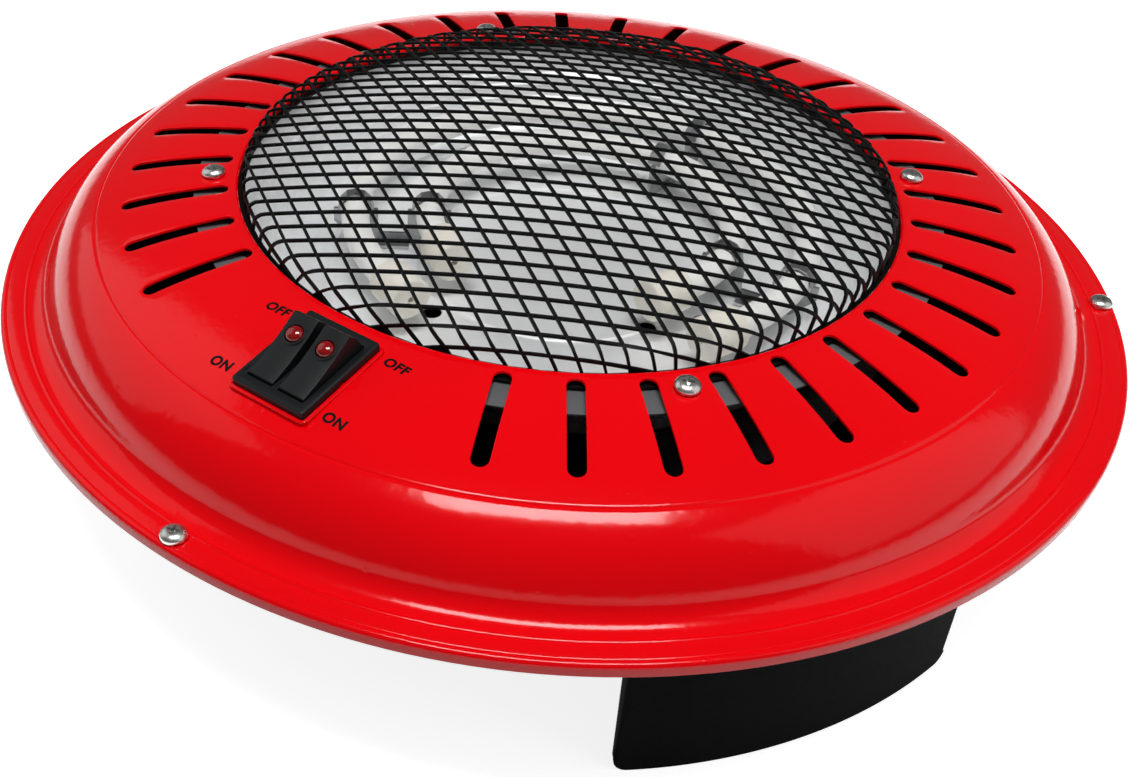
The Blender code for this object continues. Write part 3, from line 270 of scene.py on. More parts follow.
# Stage: the camera that fits the photograph, in degrees, millimetres and metres, and the lamps
CAMERA_TURN = (35.116, 38.010, 2.766)
CAMERA_PLACE = (0.22951, -0.37470, 0.34157)
CAMERA_LENS, CAMERA_SENSOR = 45.39, 36
CAMERA_SHIFT = (0.0781, 0.0050)
LAMP_AIM = (0, 0, 0.08)
LAMPS = (("lamp_top", (0.19, -0.27, 1.5), (0.8, 0.36), 20),
         ("lamp_left", (-1.3, -0.3, 0.9), (1.3, 1.3), 4),
         ("lamp_right", (1.3, 0.5, 0.9), (1.6, 1.6), 6))
FLOOR_GLOW, SKY_STRENGTH = 0.84, 0.13
PAPER_TONES, PAPER_DIM = ("#F2F2F2", "#F6F6F6"), "#A6A4A4"


# Nodes


def add(tree, kind, inputs=None, **settings):
    """Adds a node with its settings, and sets or links the sockets that inputs names."""
    node = tree.nodes.new("ShaderNode" + kind)
    for name, value in settings.items():
        setattr(node, name, value)
    for socket, value in (inputs or {}).items():
        if isinstance(value, bpy.types.NodeSocket):
            tree.links.new(value, node.inputs[socket])
        else:
            node.inputs[socket].default_value = value
    return node


def start_material(name):
    """A new empty material, its node tree and the object coordinates in metres."""
    material = bpy.data.materials.new(name)
    material.use_nodes = True
    tree = material.node_tree
    tree.nodes.clear()
    return material, tree, add(tree, "TexCoord").outputs["Object"]


def end_material(material, shader):
    """Links the shader to the output and gives the material back."""
    add(material.node_tree, "OutputMaterial", {"Surface": shader.outputs[0]})
    return material


def opaque(rgb):
    """The colour with full alpha."""
    return (*rgb, 1.0)


def per_metre(millimetres):
    """The scale at which one cell of a pattern is that many millimetres wide."""
    return 1000 / millimetres


def red_enamel(finishes):
    """Vitreous enamel, sprayed and fired: a hard gloss with a faint orange peel and small nibs."""
    material, tree, place = start_material("Vitreous enamel, sprayed and fired")
    cloud = add(tree, "TexNoise", {"Vector": place, "Scale": per_metre(70), "Detail": 2.0})
    tint = add(tree, "MixRGB", {"Fac": cloud.outputs["Fac"], "Color1": opaque(finishes.enamel),
                                "Color2": opaque([c * 0.86 for c in finishes.enamel])})
    peel = add(tree, "TexNoise", {"Vector": place, "Scale": per_metre(3.2), "Detail": 1.0})
    nibs = add(tree, "TexVoronoi", {"Vector": place, "Scale": per_metre(6.0)})
    nib = add(tree, "MapRange", {"Value": nibs.outputs["Distance"], "From Min": 0.0,
                                 "From Max": 0.13, "To Min": 1.0, "To Max": 0.0})
    skin = add(tree, "Bump", {"Height": peel.outputs["Fac"], "Strength": 0.12,
                              "Distance": mm(0.5)})
    grain = add(tree, "Bump", {"Height": nib.outputs["Result"], "Strength": 0.3,
                               "Distance": mm(0.15), "Normal": skin.outputs["Normal"]})
    shader = add(tree, "BsdfPrincipled", {"Base Color": tint.outputs["Color"], "Roughness": 0.13,
                                          "Specular IOR Level": 0.24,
                                          "Normal": grain.outputs["Normal"]})
    return end_material(material, shader)


def black_paint(finishes):
    """Stove paint on steel sheet: matt, with a dry grain, drawn coarser than the real one."""
    material, tree, place = start_material("Stove paint on steel, sprayed")
    grain = add(tree, "TexNoise", {"Vector": place, "Scale": per_metre(0.9), "Detail": 3.0})
    rough = add(tree, "MapRange", {"Value": grain.outputs["Fac"], "To Min": 0.62, "To Max": 0.8})
    bump = add(tree, "Bump", {"Height": grain.outputs["Fac"], "Strength": 0.18,
                              "Distance": mm(0.1)})
    shader = add(tree, "BsdfPrincipled", {"Base Color": opaque(finishes.paint),
                                          "Roughness": rough.outputs["Result"],
                                          "Specular IOR Level": 0.03,
                                          "Normal": bump.outputs["Normal"]})
    return end_material(material, shader)


def guard_paint(finishes):
    """Heat-proof paint on expanded steel, dipped: satin black, thicker in the corners."""
    material, tree, place = start_material("Heat-proof paint on expanded steel, dipped")
    runs = add(tree, "TexNoise", {"Vector": place, "Scale": per_metre(4.0), "Detail": 3.0})
    rough = add(tree, "MapRange", {"Value": runs.outputs["Fac"], "To Min": 0.45, "To Max": 0.65})
    bump = add(tree, "Bump", {"Height": runs.outputs["Fac"], "Strength": 0.2,
                              "Distance": mm(0.1)})
    shader = add(tree, "BsdfPrincipled", {"Base Color": opaque(finishes.guard),
                                          "Roughness": rough.outputs["Result"],
                                          "Specular IOR Level": 0.15,
                                          "Normal": bump.outputs["Normal"]})
    return end_material(material, shader)


def galvanised_steel(finishes):
    """Galvanised sheet, hot-dipped: a grey metal with faint spangle."""
    material, tree, place = start_material("Galvanised steel sheet, hot-dipped")
    spangle = add(tree, "TexVoronoi", {"Vector": place, "Scale": per_metre(5.0)})
    tone = add(tree, "MixRGB", {"Fac": spangle.outputs["Color"],
                                "Color1": opaque(finishes.galvanised),
                                "Color2": opaque(finishes.spangle)})
    rough = add(tree, "MapRange", {"Value": spangle.outputs["Color"], "To Min": 0.30,
                                   "To Max": 0.44})
    shader = add(tree, "BsdfPrincipled", {"Base Color": tone.outputs["Color"], "Metallic": 1.0,
                                          "Roughness": rough.outputs["Result"]})
    return end_material(material, shader)


def bright_aluminium(finishes):
    """Bright rolled aluminium, spun to a bowl: turning lines, and painted shade on the flange.

    The lines are drawn coarser than the real ones.
    """
    material, tree, place = start_material("Bright rolled aluminium, spun")
    apart = add(tree, "SeparateXYZ", {"Vector": place})
    flat = add(tree, "CombineXYZ", {"X": apart.outputs["X"], "Y": apart.outputs["Y"]})
    reach = add(tree, "VectorMath", {0: flat.outputs["Vector"]}, operation="LENGTH")
    along = add(tree, "CombineXYZ", {"X": reach.outputs["Value"], "Y": apart.outputs["Z"]})
    lines = add(tree, "TexNoise", {"Vector": along.outputs["Vector"], "Scale": per_metre(0.8),
                                   "Detail": 2.0})
    smear = add(tree, "TexNoise", {"Vector": place, "Scale": per_metre(30), "Detail": 2.0})
    # Painted shade: past the mouth the bowl turns dark grey for the shade under the cover
    outer = add(tree, "MapRange", {"Value": reach.outputs["Value"], "From Min": mm(112.5),
                                   "From Max": mm(116.5)})
    tone = add(tree, "MixRGB", {"Fac": outer.outputs["Result"],
                                "Color1": opaque(finishes.aluminium),
                                "Color2": opaque(finishes.flange_shade)})
    rough = add(tree, "MapRange", {"Value": smear.outputs["Fac"], "To Min": 0.46, "To Max": 0.6})
    bump = add(tree, "Bump", {"Height": lines.outputs["Fac"], "Strength": 0.12,
                              "Distance": mm(0.1)})
    shader = add(tree, "BsdfPrincipled", {"Base Color": tone.outputs["Color"], "Metallic": 0.55,
                                          "Roughness": rough.outputs["Result"],
                                          "Normal": bump.outputs["Normal"]})
    return end_material(material, shader)


def frosted_quartz(finishes):
    """Fused quartz, drawn and sand-blasted: milky white with a soft sheen.

    The grit is drawn coarser than the real one.
    """
    material, tree, place = start_material("Fused quartz, sand-blasted")
    grit = add(tree, "TexNoise", {"Vector": place, "Scale": per_metre(0.7), "Detail": 3.0})
    bump = add(tree, "Bump", {"Height": grit.outputs["Fac"], "Strength": 0.15,
                              "Distance": mm(0.08)})
    shader = add(tree, "BsdfPrincipled", {"Base Color": opaque(finishes.quartz), "Roughness": 0.34,
                                          "IOR": 1.46, "Subsurface Weight": 0.25,
                                          "Subsurface Radius": (mm(4), mm(4), mm(4)),
                                          "Normal": bump.outputs["Normal"]})
    return end_material(material, shader)


def resistance_wire(finishes):
    """Resistance wire, drawn and wound: grey with a brown oxide."""
    material, tree, place = start_material("Resistance wire, drawn")
    oxide = add(tree, "TexNoise", {"Vector": place, "Scale": per_metre(6.0)})
    tone = add(tree, "MixRGB", {"Fac": oxide.outputs["Fac"], "Color1": opaque(finishes.wire),
                                "Color2": opaque(finishes.oxide)})
    shader = add(tree, "BsdfPrincipled", {"Base Color": tone.outputs["Color"], "Metallic": 1.0,
                                          "Roughness": 0.45})
    return end_material(material, shader)


def cream_ceramic(finishes):
    """Steatite ceramic, pressed and fired: dry cream with pores, drawn coarser than real ones."""
    material, tree, place = start_material("Steatite ceramic, pressed and fired")
    pores = add(tree, "TexNoise", {"Vector": place, "Scale": per_metre(0.8), "Detail": 4.0})
    tone = add(tree, "MixRGB", {"Fac": pores.outputs["Fac"], "Color1": opaque(finishes.ceramic),
                                "Color2": opaque([c * 0.88 for c in finishes.ceramic])})
    bump = add(tree, "Bump", {"Height": pores.outputs["Fac"], "Strength": 0.25,
                              "Distance": mm(0.1)})
    shader = add(tree, "BsdfPrincipled", {"Base Color": tone.outputs["Color"], "Roughness": 0.62,
                                          "Normal": bump.outputs["Normal"]})
    return end_material(material, shader)


def charcoal_plastic(finishes):
    """Nylon, moulded in a spark-eroded tool: semi-matt, with a grain drawn coarser than real."""
    material, tree, place = start_material("Nylon, moulded")
    grain = add(tree, "TexNoise", {"Vector": place, "Scale": per_metre(0.45), "Detail": 3.0})
    bump = add(tree, "Bump", {"Height": grain.outputs["Fac"], "Strength": 0.22,
                              "Distance": mm(0.06)})
    shader = add(tree, "BsdfPrincipled", {"Base Color": opaque(finishes.plastic),
                                          "Roughness": 0.42, "Specular IOR Level": 0.25,
                                          "Normal": bump.outputs["Normal"]})
    return end_material(material, shader)


def printed_ink(finishes):
    """Pad-printing ink: a thin black film, a little matt against the enamel."""
    material, tree, place = start_material("Pad-printed ink")
    wear = add(tree, "TexNoise", {"Vector": place, "Scale": per_metre(1.0), "Detail": 3.0})
    rough = add(tree, "MapRange", {"Value": wear.outputs["Fac"], "To Min": 0.35, "To Max": 0.6})
    shader = add(tree, "BsdfPrincipled", {"Base Color": opaque(finishes.ink),
                                          "Roughness": rough.outputs["Result"],
                                          "Specular IOR Level": 0.12})
    return end_material(material, shader)


def white_plastic(finishes):
    """Polyamide, moulded: a white block with a dull skin."""
    material, tree, place = start_material("Polyamide, moulded white")
    cloud = add(tree, "TexNoise", {"Vector": place, "Scale": per_metre(2.0)})
    rough = add(tree, "MapRange", {"Value": cloud.outputs["Fac"], "To Min": 0.38, "To Max": 0.5})
    shader = add(tree, "BsdfPrincipled", {"Base Color": opaque(finishes.block),
                                          "Roughness": rough.outputs["Result"]})
    return end_material(material, shader)


def gland_plastic(finishes):
    """Polyamide, moulded: a black gland with a dull skin."""
    material, tree, place = start_material("Polyamide, moulded black")
    cloud = add(tree, "TexNoise", {"Vector": place, "Scale": per_metre(2.0)})
    rough = add(tree, "MapRange", {"Value": cloud.outputs["Fac"], "To Min": 0.42, "To Max": 0.55})
    shader = add(tree, "BsdfPrincipled", {"Base Color": opaque(finishes.gland),
                                          "Roughness": rough.outputs["Result"]})
    return end_material(material, shader)


def lens_plastic(finishes):
    """Polycarbonate, moulded and polished: a deep clear red with cloudy flow marks."""
    material, tree, place = start_material("Polycarbonate, moulded clear red")
    flow = add(tree, "TexNoise", {"Vector": place, "Scale": per_metre(1.5), "Detail": 2.0})
    tone = add(tree, "MixRGB", {"Fac": flow.outputs["Fac"], "Color1": opaque(finishes.lens),
                                "Color2": opaque([c * 0.35 for c in finishes.lens])})
    shader = add(tree, "BsdfPrincipled", {"Base Color": tone.outputs["Color"], "Roughness": 0.06,
                                          "IOR": 1.58, "Transmission Weight": 0.1})
    return end_material(material, shader)


def zinc_plate(finishes):
    """Zinc plate, barrel-plated: a bright metal with small scuffs."""
    material, tree, place = start_material("Steel, barrel-plated with zinc")
    scuff = add(tree, "TexNoise", {"Vector": place, "Scale": per_metre(1.5), "Detail": 4.0})
    rough = add(tree, "MapRange", {"Value": scuff.outputs["Fac"], "To Min": 0.2, "To Max": 0.38})
    shader = add(tree, "BsdfPrincipled", {"Base Color": opaque(finishes.zinc), "Metallic": 1.0,
                                          "Roughness": rough.outputs["Result"]})
    return end_material(material, shader)


MATERIAL_MAKERS = {
    "red_enamel": red_enamel,
    "black_paint": black_paint,
    "guard_black": guard_paint,
    "galvanised_steel": galvanised_steel,
    "polished_aluminium": bright_aluminium,
    "frosted_quartz": frosted_quartz,
    "resistance_wire": resistance_wire,
    "cream_ceramic": cream_ceramic,
    "charcoal_plastic": charcoal_plastic,
    "white_plastic": white_plastic,
    "gland_black": gland_plastic,
    "red_lens": lens_plastic,
    "zinc_plate": zinc_plate,
    "ink": printed_ink,
}
made_materials = {}


def finish_of(slot):
    """The material of a slot, made the first time that it is asked for."""
    if slot not in made_materials:
        made_materials[slot] = MATERIAL_MAKERS[slot](bpy.context.scene.brazier_finishes)
    return made_materials[slot]


def dress(obj, slot):
    """Gives the whole object the finish of that slot."""
    obj.data.materials.clear()
    obj.data.materials.append(finish_of(slot))


# Shapes


def finished(name, form, slot, nodes, body="brazier", material=None):
    """Turns the form into a piece that stands for these nodes and moves with the body."""
    bmesh.ops.remove_doubles(form, verts=form.verts, dist=MERGE)
    bmesh.ops.recalc_face_normals(form, faces=form.faces)
    mesh = bpy.data.meshes.new(name)
    form.to_mesh(mesh)
    form.free()
    mesh.shade_smooth()
    mesh.set_sharp_from_angle(angle=SHARP_ANGLE)
    piece = bpy.data.objects.new(name, mesh)
    bpy.context.scene.collection.objects.link(piece)
    dress(piece, material or slot)
    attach(piece, body)
    if nodes:
        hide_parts(*nodes)
    return piece


def verts_in(items):
    """Those of the items that are points."""
    return [item for item in items if isinstance(item, bmesh.types.BMVert)]


def edges_within(items, verts):
    """Those edges of the items that run between these points."""
    return [item for item in items if isinstance(item, bmesh.types.BMEdge)
            and all(vert in verts for vert in item.verts)]


def with_modifier(form, kind, **settings):
    """The form as this modifier leaves it."""
    bmesh.ops.recalc_face_normals(form, faces=form.faces)
    mesh = bpy.data.meshes.new("work")
    form.to_mesh(mesh)
    form.free()
    work = bpy.data.objects.new("work", mesh)
    bpy.context.scene.collection.objects.link(work)
    modifier = work.modifiers.new("work", kind)
    for name, value in settings.items():
        setattr(modifier, name, value)
    bpy.context.view_layer.update()
    graph = bpy.context.evaluated_depsgraph_get()
    made = bpy.data.meshes.new_from_object(work.evaluated_get(graph))
    result = bmesh.new()
    result.from_mesh(made)
    bpy.data.objects.remove(work)
    for used in (mesh, made):
        bpy.data.meshes.remove(used)
    return result


def combined(form, other, operation="DIFFERENCE"):
    """The form with the other one cut from it or joined to it."""
    bmesh.ops.recalc_face_normals(other, faces=other.faces)
    mesh = bpy.data.meshes.new("tool")
    other.to_mesh(mesh)
    other.free()
    tool = bpy.data.objects.new("tool", mesh)
    bpy.context.scene.collection.objects.link(tool)
    result = with_modifier(form, "BOOLEAN", operation=operation, solver="EXACT", object=tool)
    bpy.data.objects.remove(tool)
    bpy.data.meshes.remove(mesh)
    return result


def around(radius, angle, height):
    """The point at this radius and height. The angle runs clockwise from the switch."""
    return Vector((-radius * math.sin(angle), -radius * math.cos(angle), height))


def place_at(radius, angle, height, tilt=0.0):
    """A frame whose Y axis points at the brazier's axis and which leans outwards by the tilt."""
    turn = Matrix.Rotation(-angle, 4, "Z") @ Matrix.Rotation(tilt, 4, "X")
    return Matrix.Translation(around(radius, angle, height)) @ turn


def arc(start, end, turn, steps):
    """Points from start to end on an arc that turns right by this angle, both ends included."""
    start, end = Vector(start), Vector(end)
    chord = end - start
    radius = chord.length / (2 * math.sin(abs(turn) / 2))
    right = Vector((chord.y, -chord.x)).normalized() * math.copysign(1, turn)
    centre = (start + end) / 2 + right * radius * math.cos(turn / 2)
    spoke = start - centre
    angles = [-turn * step / steps for step in range(steps + 1)]
    return [(centre.x + spoke.x * math.cos(a) - spoke.y * math.sin(a),
             centre.y + spoke.x * math.sin(a) + spoke.y * math.cos(a)) for a in angles]


def beside(line, distance):
    """The line moved to the right of its direction."""
    points = [Vector(point) for point in line]
    ways = [(b - a).normalized() for a, b in zip(points, points[1:])]
    moved = []
    for point, before, after in zip(points, [ways[0]] + ways, ways + [ways[-1]]):
        middle = (before + after).normalized()
        stretch = distance / max(middle.dot(before), MITRE_LIMIT)
        moved.append((point.x + middle.y * stretch, point.y - middle.x * stretch))
    return moved


def rounded(line, radius, steps=5):
    """The line with its inner corners rounded off, where the line has room for that."""
    points = [Vector(point) for point in line]
    result = [tuple(points[0])]
    for before, corner, after in zip(points, points[1:], points[2:]):
        back, ahead = before - corner, after - corner
        angle = back.angle(ahead)
        cut = min(radius / math.tan(angle / 2), min(back.length, ahead.length) / CORNER_ROOM)
        turn = math.copysign(math.pi - angle, back.x * ahead.y - back.y * ahead.x)
        start = corner + back.normalized() * cut
        end = corner + ahead.normalized() * cut
        result += arc(start, end, turn, steps)
    return result + [tuple(points[-1])]


def spun(outline, steps, turn=0.0):
    """A closed body: the outline of radius and height turned once round the Z axis."""
    form = bmesh.new()
    verts = [form.verts.new((radius, 0, height)) for radius, height in outline]
    edges = [form.edges.new(pair) for pair in zip(verts, verts[1:])]
    if outline[0][0] > 0:
        edges.append(form.edges.new((verts[-1], verts[0])))
    bmesh.ops.spin(form, geom=verts + edges, axis=(0, 0, 1), cent=(0, 0, 0),
                   angle=math.tau, steps=steps, use_merge=True)
    bmesh.ops.remove_doubles(form, verts=form.verts, dist=MERGE_TURNED)
    bmesh.ops.rotate(form, verts=form.verts, cent=(0, 0, 0),
                     matrix=Matrix.Rotation(turn, 3, "Z"))
    return form


def add_prism(form, outline, depth, place, far_scale=1.0):
    """Adds a flat outline in the place's XY plane, extruded along its Z axis by the depth."""
    near = [form.verts.new((x, y, 0)) for x, y in outline]
    grown = bmesh.ops.extrude_face_region(form, geom=[form.faces.new(near)])["geom"]
    far = verts_in(grown)
    bmesh.ops.scale(form, verts=far, vec=(far_scale, far_scale, 1))
    bmesh.ops.translate(form, verts=far, vec=(0, 0, depth))
    bmesh.ops.transform(form, matrix=place, verts=near + far)


def add_rod(form, radius, length, steps, place):
    """Adds a solid round rod that runs up from the place's origin."""
    turn = Matrix.Translation((0, 0, length / 2)) @ Matrix.Rotation(math.pi / steps / 2, 4, "Z")
    bmesh.ops.create_cone(form, cap_ends=True, segments=steps, radius1=radius, radius2=radius,
                          depth=length, matrix=place @ turn)


def block(size, centre):
    """A form with one box."""
    form = bmesh.new()
    place = Matrix.Translation(centre) @ Matrix.Diagonal((*size, 1))
    bmesh.ops.create_cube(form, size=1, matrix=place)
    return form


def soften(form, edges, width, steps):
    """Rounds these edges."""
    bmesh.ops.bevel(form, geom=list(edges), offset=width, segments=steps, profile=0.5,
                    affect="EDGES", material=-1, clamp_overlap=True)


def steep(edge, degrees):
    """Whether the faces at this edge turn by more than this angle."""
    return len(edge.link_faces) == 2 and edge.calc_face_angle() > math.radians(degrees)


def upright(edge):
    """Whether this edge runs up or nearly so."""
    way = edge.verts[0].co - edge.verts[1].co
    return abs(way.z) > way.length * 0.9


def move(form, place):
    """The form, moved and turned to the place."""
    bmesh.ops.transform(form, matrix=place, verts=form.verts)
    return form


# Cover


def ring_rise(s, radius):
    """Height of the slotted ring at this radius over the rim's lower edge."""
    share = (radius - s.opening) / (s.crease - s.opening)
    return s.opening_rise - s.ring_fall * share - s.ring_dip * share ** 3


def ring_slope(s, radius):
    """Slope of the slotted ring at this radius."""
    share = (radius - s.opening) / (s.crease - s.opening)
    return math.atan((s.ring_fall + 3 * s.ring_dip * share ** 2) / (s.crease - s.opening))


def cover_line(s, fine):
    """Upper side of the cover from its lip to its rim. The fine line has the details too."""
    roll = s.lip_roll
    start = s.opening + roll * LIP_START
    lip_top = (s.opening, ring_rise(s, start) - roll)
    line = [(s.opening, s.opening_rise - s.lip)]
    line += arc(lip_top, (start, ring_rise(s, start)), LIP_TURN, 5)
    ends = s.crease - 4 * s.detail
    radii = [start + (ends - start) * step / 14 for step in range(1, 15)]
    line += [(radius, ring_rise(s, radius)) for radius in radii]
    foot = (s.wall_foot, s.wall_foot_rise)
    shoulder = arc((s.crease, ring_rise(s, s.crease)), foot, SHOULDER_TURN, 20)
    if fine:
        low = Vector(shoulder[0]) - Vector((GROOVE_LEAN, 1)) * s.detail
        before = s.crease - 2 * s.detail
        near = Vector(shoulder[0]).lerp(Vector(shoulder[1]), 0.5)
        line += [(before, ring_rise(s, before)), tuple(low), tuple(near)]
    else:
        line.append(shoulder[0])
    line += shoulder[1:]
    line += arc(foot, (s.flange_start, s.flange_rise), -WALL_FOOT_TURN, 12)[1:]
    if fine:
        line += [(s.flange_start + reach * s.detail, s.flange_rise + lift * s.detail)
                 for reach, lift in FLANGE_TRIM]
    line += arc((s.rim - s.rim_roll, s.flange_rise), (s.rim, s.flange_rise - s.rim_roll),
                math.pi / 2, 8)
    if fine:
        return line + [(s.rim, s.detail), (s.rim - s.detail, 0)]
    return line + [(s.rim, 0)]


def slot_outline(s):
    """A radial slot with round ends, along -Y from the brazier's axis."""
    half = s.slot_width / 2
    points = []
    for centre, start in ((s.slot_inner + half, 0.0), (s.slot_outer - half, math.pi)):
        for step in range(9):
            angle = start + math.pi * step / 8
            points.append((half * math.cos(angle), -centre + half * math.sin(angle)))
    return points


def slot_angles(s):
    """Angles of the slots, which run from both sides of the switch."""
    side = [s.slot_first + s.slot_pitch * step for step in range(SLOT_COUNT // 2)]
    return side + [-angle for angle in side]


def switch_place(s):
    """The frame on the cover under the switch's middle, with Z along the cover's normal."""
    radius = s.switch_radius
    place = place_at(radius, 0.0, s.rim_height + ring_rise(s, radius), ring_slope(s, radius))
    return place @ Matrix.Translation((s.switch_shift, 0, 0))


def body_size(s):
    """Width and length of the switch's body under its bezel."""
    return 2 * (s.rocker_offset + s.well_width / 2 + BODY_WALL), s.well_length + 2 * BODY_WALL


def switch_pad(s):
    """The flat pad pressed up under the switch, with a low border round the bezel."""
    size = (s.bezel_width + 2 * PAD_BORDER, s.bezel_length + 2 * PAD_BORDER,
            PAD_DEPTH + PAD_HEIGHT)
    pad = block(size, (0, 0, (PAD_HEIGHT - PAD_DEPTH) / 2))
    soften(pad, [edge for edge in pad.edges if upright(edge)], 2 * PAD_BORDER, 6)
    soften(pad, [edge for edge in pad.edges if steep(edge, 60) and edge.verts[0].co.z > 0
                 and edge.verts[1].co.z > 0], s.gap, 3)
    seat = (s.bezel_width + 2 * s.gap, s.bezel_length + 2 * s.gap, 2 * PAD_HEIGHT)
    return combined(pad, block(seat, (0, 0, PAD_HEIGHT + s.gap / 2)))


def on_slot_rim(s, edge):
    """Whether this edge goes round a slot's mouth, away from the switch."""
    spot = (edge.verts[0].co + edge.verts[1].co) / 2
    reach = math.hypot(spot.x, spot.y)
    return (s.slot_inner - s.sheet < reach < s.slot_outer + s.sheet and steep(edge, 50)
            and spot.z - s.rim_height > ring_rise(s, reach) - s.sheet / 3
            and abs(spot.x) > s.bezel_width)


def make_cover(s):
    """The enamelled cover: a spun sheet with its slots, holes, pad and rounded cut edges."""
    outline = cover_line(s, True) + beside(cover_line(s, False), s.sheet)[::-1]
    form = spun(outline, TURN_STEPS, math.pi / TURN_STEPS)
    move(form, Matrix.Translation((0, 0, s.rim_height)))
    form = combined(form, move(switch_pad(s), switch_place(s)), "UNION")
    holes = bmesh.new()
    low = s.rim_height + ring_rise(s, s.slot_outer) - 4 * s.sheet
    depth = 20 * s.sheet
    for angle in slot_angles(s):
        place = Matrix.Rotation(-angle, 4, "Z") @ Matrix.Translation((0, 0, low))
        add_prism(holes, slot_outline(s), depth, place)
    for angle in TOP_SCREW_ANGLES:
        add_rod(holes, s.screw_hole, depth, 20, place_at(s.top_screw, math.radians(angle), low))
    for angle in FLANGE_SCREW_ANGLES:
        spot = place_at(s.flange_screw, math.radians(angle), s.rim_height)
        add_rod(holes, s.screw_hole, 4 * s.flange_rise, 20, spot)
    form = combined(form, holes)
    width, length = body_size(s)
    hole = (width + 2 * s.gap, length + 2 * s.gap, length / 3)
    form = combined(form, move(block(hole, (0, 0, 0)), switch_place(s)))
    soften(form, [edge for edge in form.edges if on_slot_rim(s, edge)], s.sheet / 4, 2)
    finished("cover_pressing", form, "red_enamel", ["top_cover"])


# Screws


def cross_outline(s):
    """The cross of a screw's recess."""
    arm, half = s.screw_head * CROSS_ARM, s.screw_head * CROSS_HALF
    quarter = [Vector(point) for point in ((half, half), (half, arm), (-half, arm))]
    turns = [Matrix.Rotation(step * math.pi / 2, 2) for step in range(4)]
    return [tuple(turn @ point) for turn in turns for point in quarter]


def screw_form(s):
    """A pan head with a cross recess on a plain shank."""
    crown = (s.screw_head * CROWN_REACH, s.screw_height * CROWN_RISE)
    side = (s.screw_head, s.screw_height * SIDE_RISE)
    line = [(0, s.screw_height)] + arc(crown, side, HEAD_TURN, 8)
    line += [(s.screw_head, s.screw_height * EDGE_RISE), (s.screw_head * FOOT_REACH, 0),
             (s.screw_shank, 0), (s.screw_shank, -s.screw_length), (0, -s.screw_length)]
    recess = bmesh.new()
    top = Matrix.Translation((0, 0, s.screw_height * CROSS_TOP))
    add_prism(recess, cross_outline(s), -s.screw_height * CROSS_DEPTH, top, CROSS_TAPER)
    return combined(spun(line, 32), recess)


def make_screws(s):
    """The four screws on the slotted ring and the three on the flange."""
    form = screw_form(s)
    tilt = ring_slope(s, s.top_screw)
    top = s.rim_height + ring_rise(s, s.top_screw)
    places = [(f"top_screw_{number}", place_at(s.top_screw, math.radians(angle), top, tilt))
              for number, angle in enumerate(TOP_SCREW_ANGLES, 1)]
    flat = s.rim_height + s.flange_rise
    places += [(f"flange_screw_{number}", place_at(s.flange_screw, math.radians(angle), flat))
               for number, angle in enumerate(FLANGE_SCREW_ANGLES, 1)]
    for number, (node, place) in enumerate(places, 1):
        turn = Matrix.Translation((0, 0, s.gap)) @ Matrix.Rotation(SCREW_TWIST * number, 4, "Z")
        finished("cross_head_" + node, move(form.copy(), place @ turn), "zinc_plate", [node])
    form.free()


# Guard


def guard_section(s):
    """Crown radius, its end's slope, and the lengths to the ends of crown, edge and wall."""
    half = s.guard_wall - s.guard_edge
    crown = (half ** 2 + s.guard_crown ** 2) / (2 * s.guard_crown)
    slope = math.asin(half / (crown - s.guard_edge))
    bend = crown * slope + s.guard_edge * (math.pi / 2 - slope)
    drop = s.guard_height - crown + (crown - s.guard_edge) * math.cos(slope)
    return crown, slope, crown * slope, bend, bend + drop


def guard_point(s, section, length):
    """Radius and height over the flange at this length from the guard's middle."""
    crown, slope, dome, bend, wall = section
    centre = s.guard_height - crown
    if length <= dome:
        return crown * math.sin(length / crown), centre + crown * math.cos(length / crown)
    if length >= bend:
        return s.guard_wall + max(length - wall, 0), max(wall - length, 0)
    turn = slope + (length - dome) / s.guard_edge
    inner = crown - s.guard_edge
    return (inner * math.sin(slope) + s.guard_edge * math.sin(turn),
            centre + inner * math.cos(slope) + s.guard_edge * math.cos(turn))


def guard_cells(s, reach):
    """Flat diamonds trimmed to a disc."""
    count = 2 * math.ceil(reach * (1 / s.mesh_long + 1 / s.mesh_short)) + 2
    form = bmesh.new()
    bmesh.ops.create_grid(form, x_segments=count, y_segments=count, size=count / 2)
    along, across = s.mesh_long / 2, s.mesh_short / 2
    skew = Matrix(((along, along, 0, 0), (across, -across, 0, 0), (0, 0, 1, 0), (0, 0, 0, 1)))
    move(form, Matrix.Rotation(s.mesh_turn, 4, "Z") @ skew)
    for side in range(TRIM_SIDES):
        angle = math.tau * (side + 0.5) / TRIM_SIDES
        away = Vector((math.cos(angle), math.sin(angle), 0))
        bmesh.ops.bisect_plane(form, geom=form.verts[:] + form.edges[:] + form.faces[:],
                               plane_co=away * reach, plane_no=away, clear_outer=True, dist=MERGE)
    bmesh.ops.remove_doubles(form, verts=form.verts, dist=s.strand)
    return form


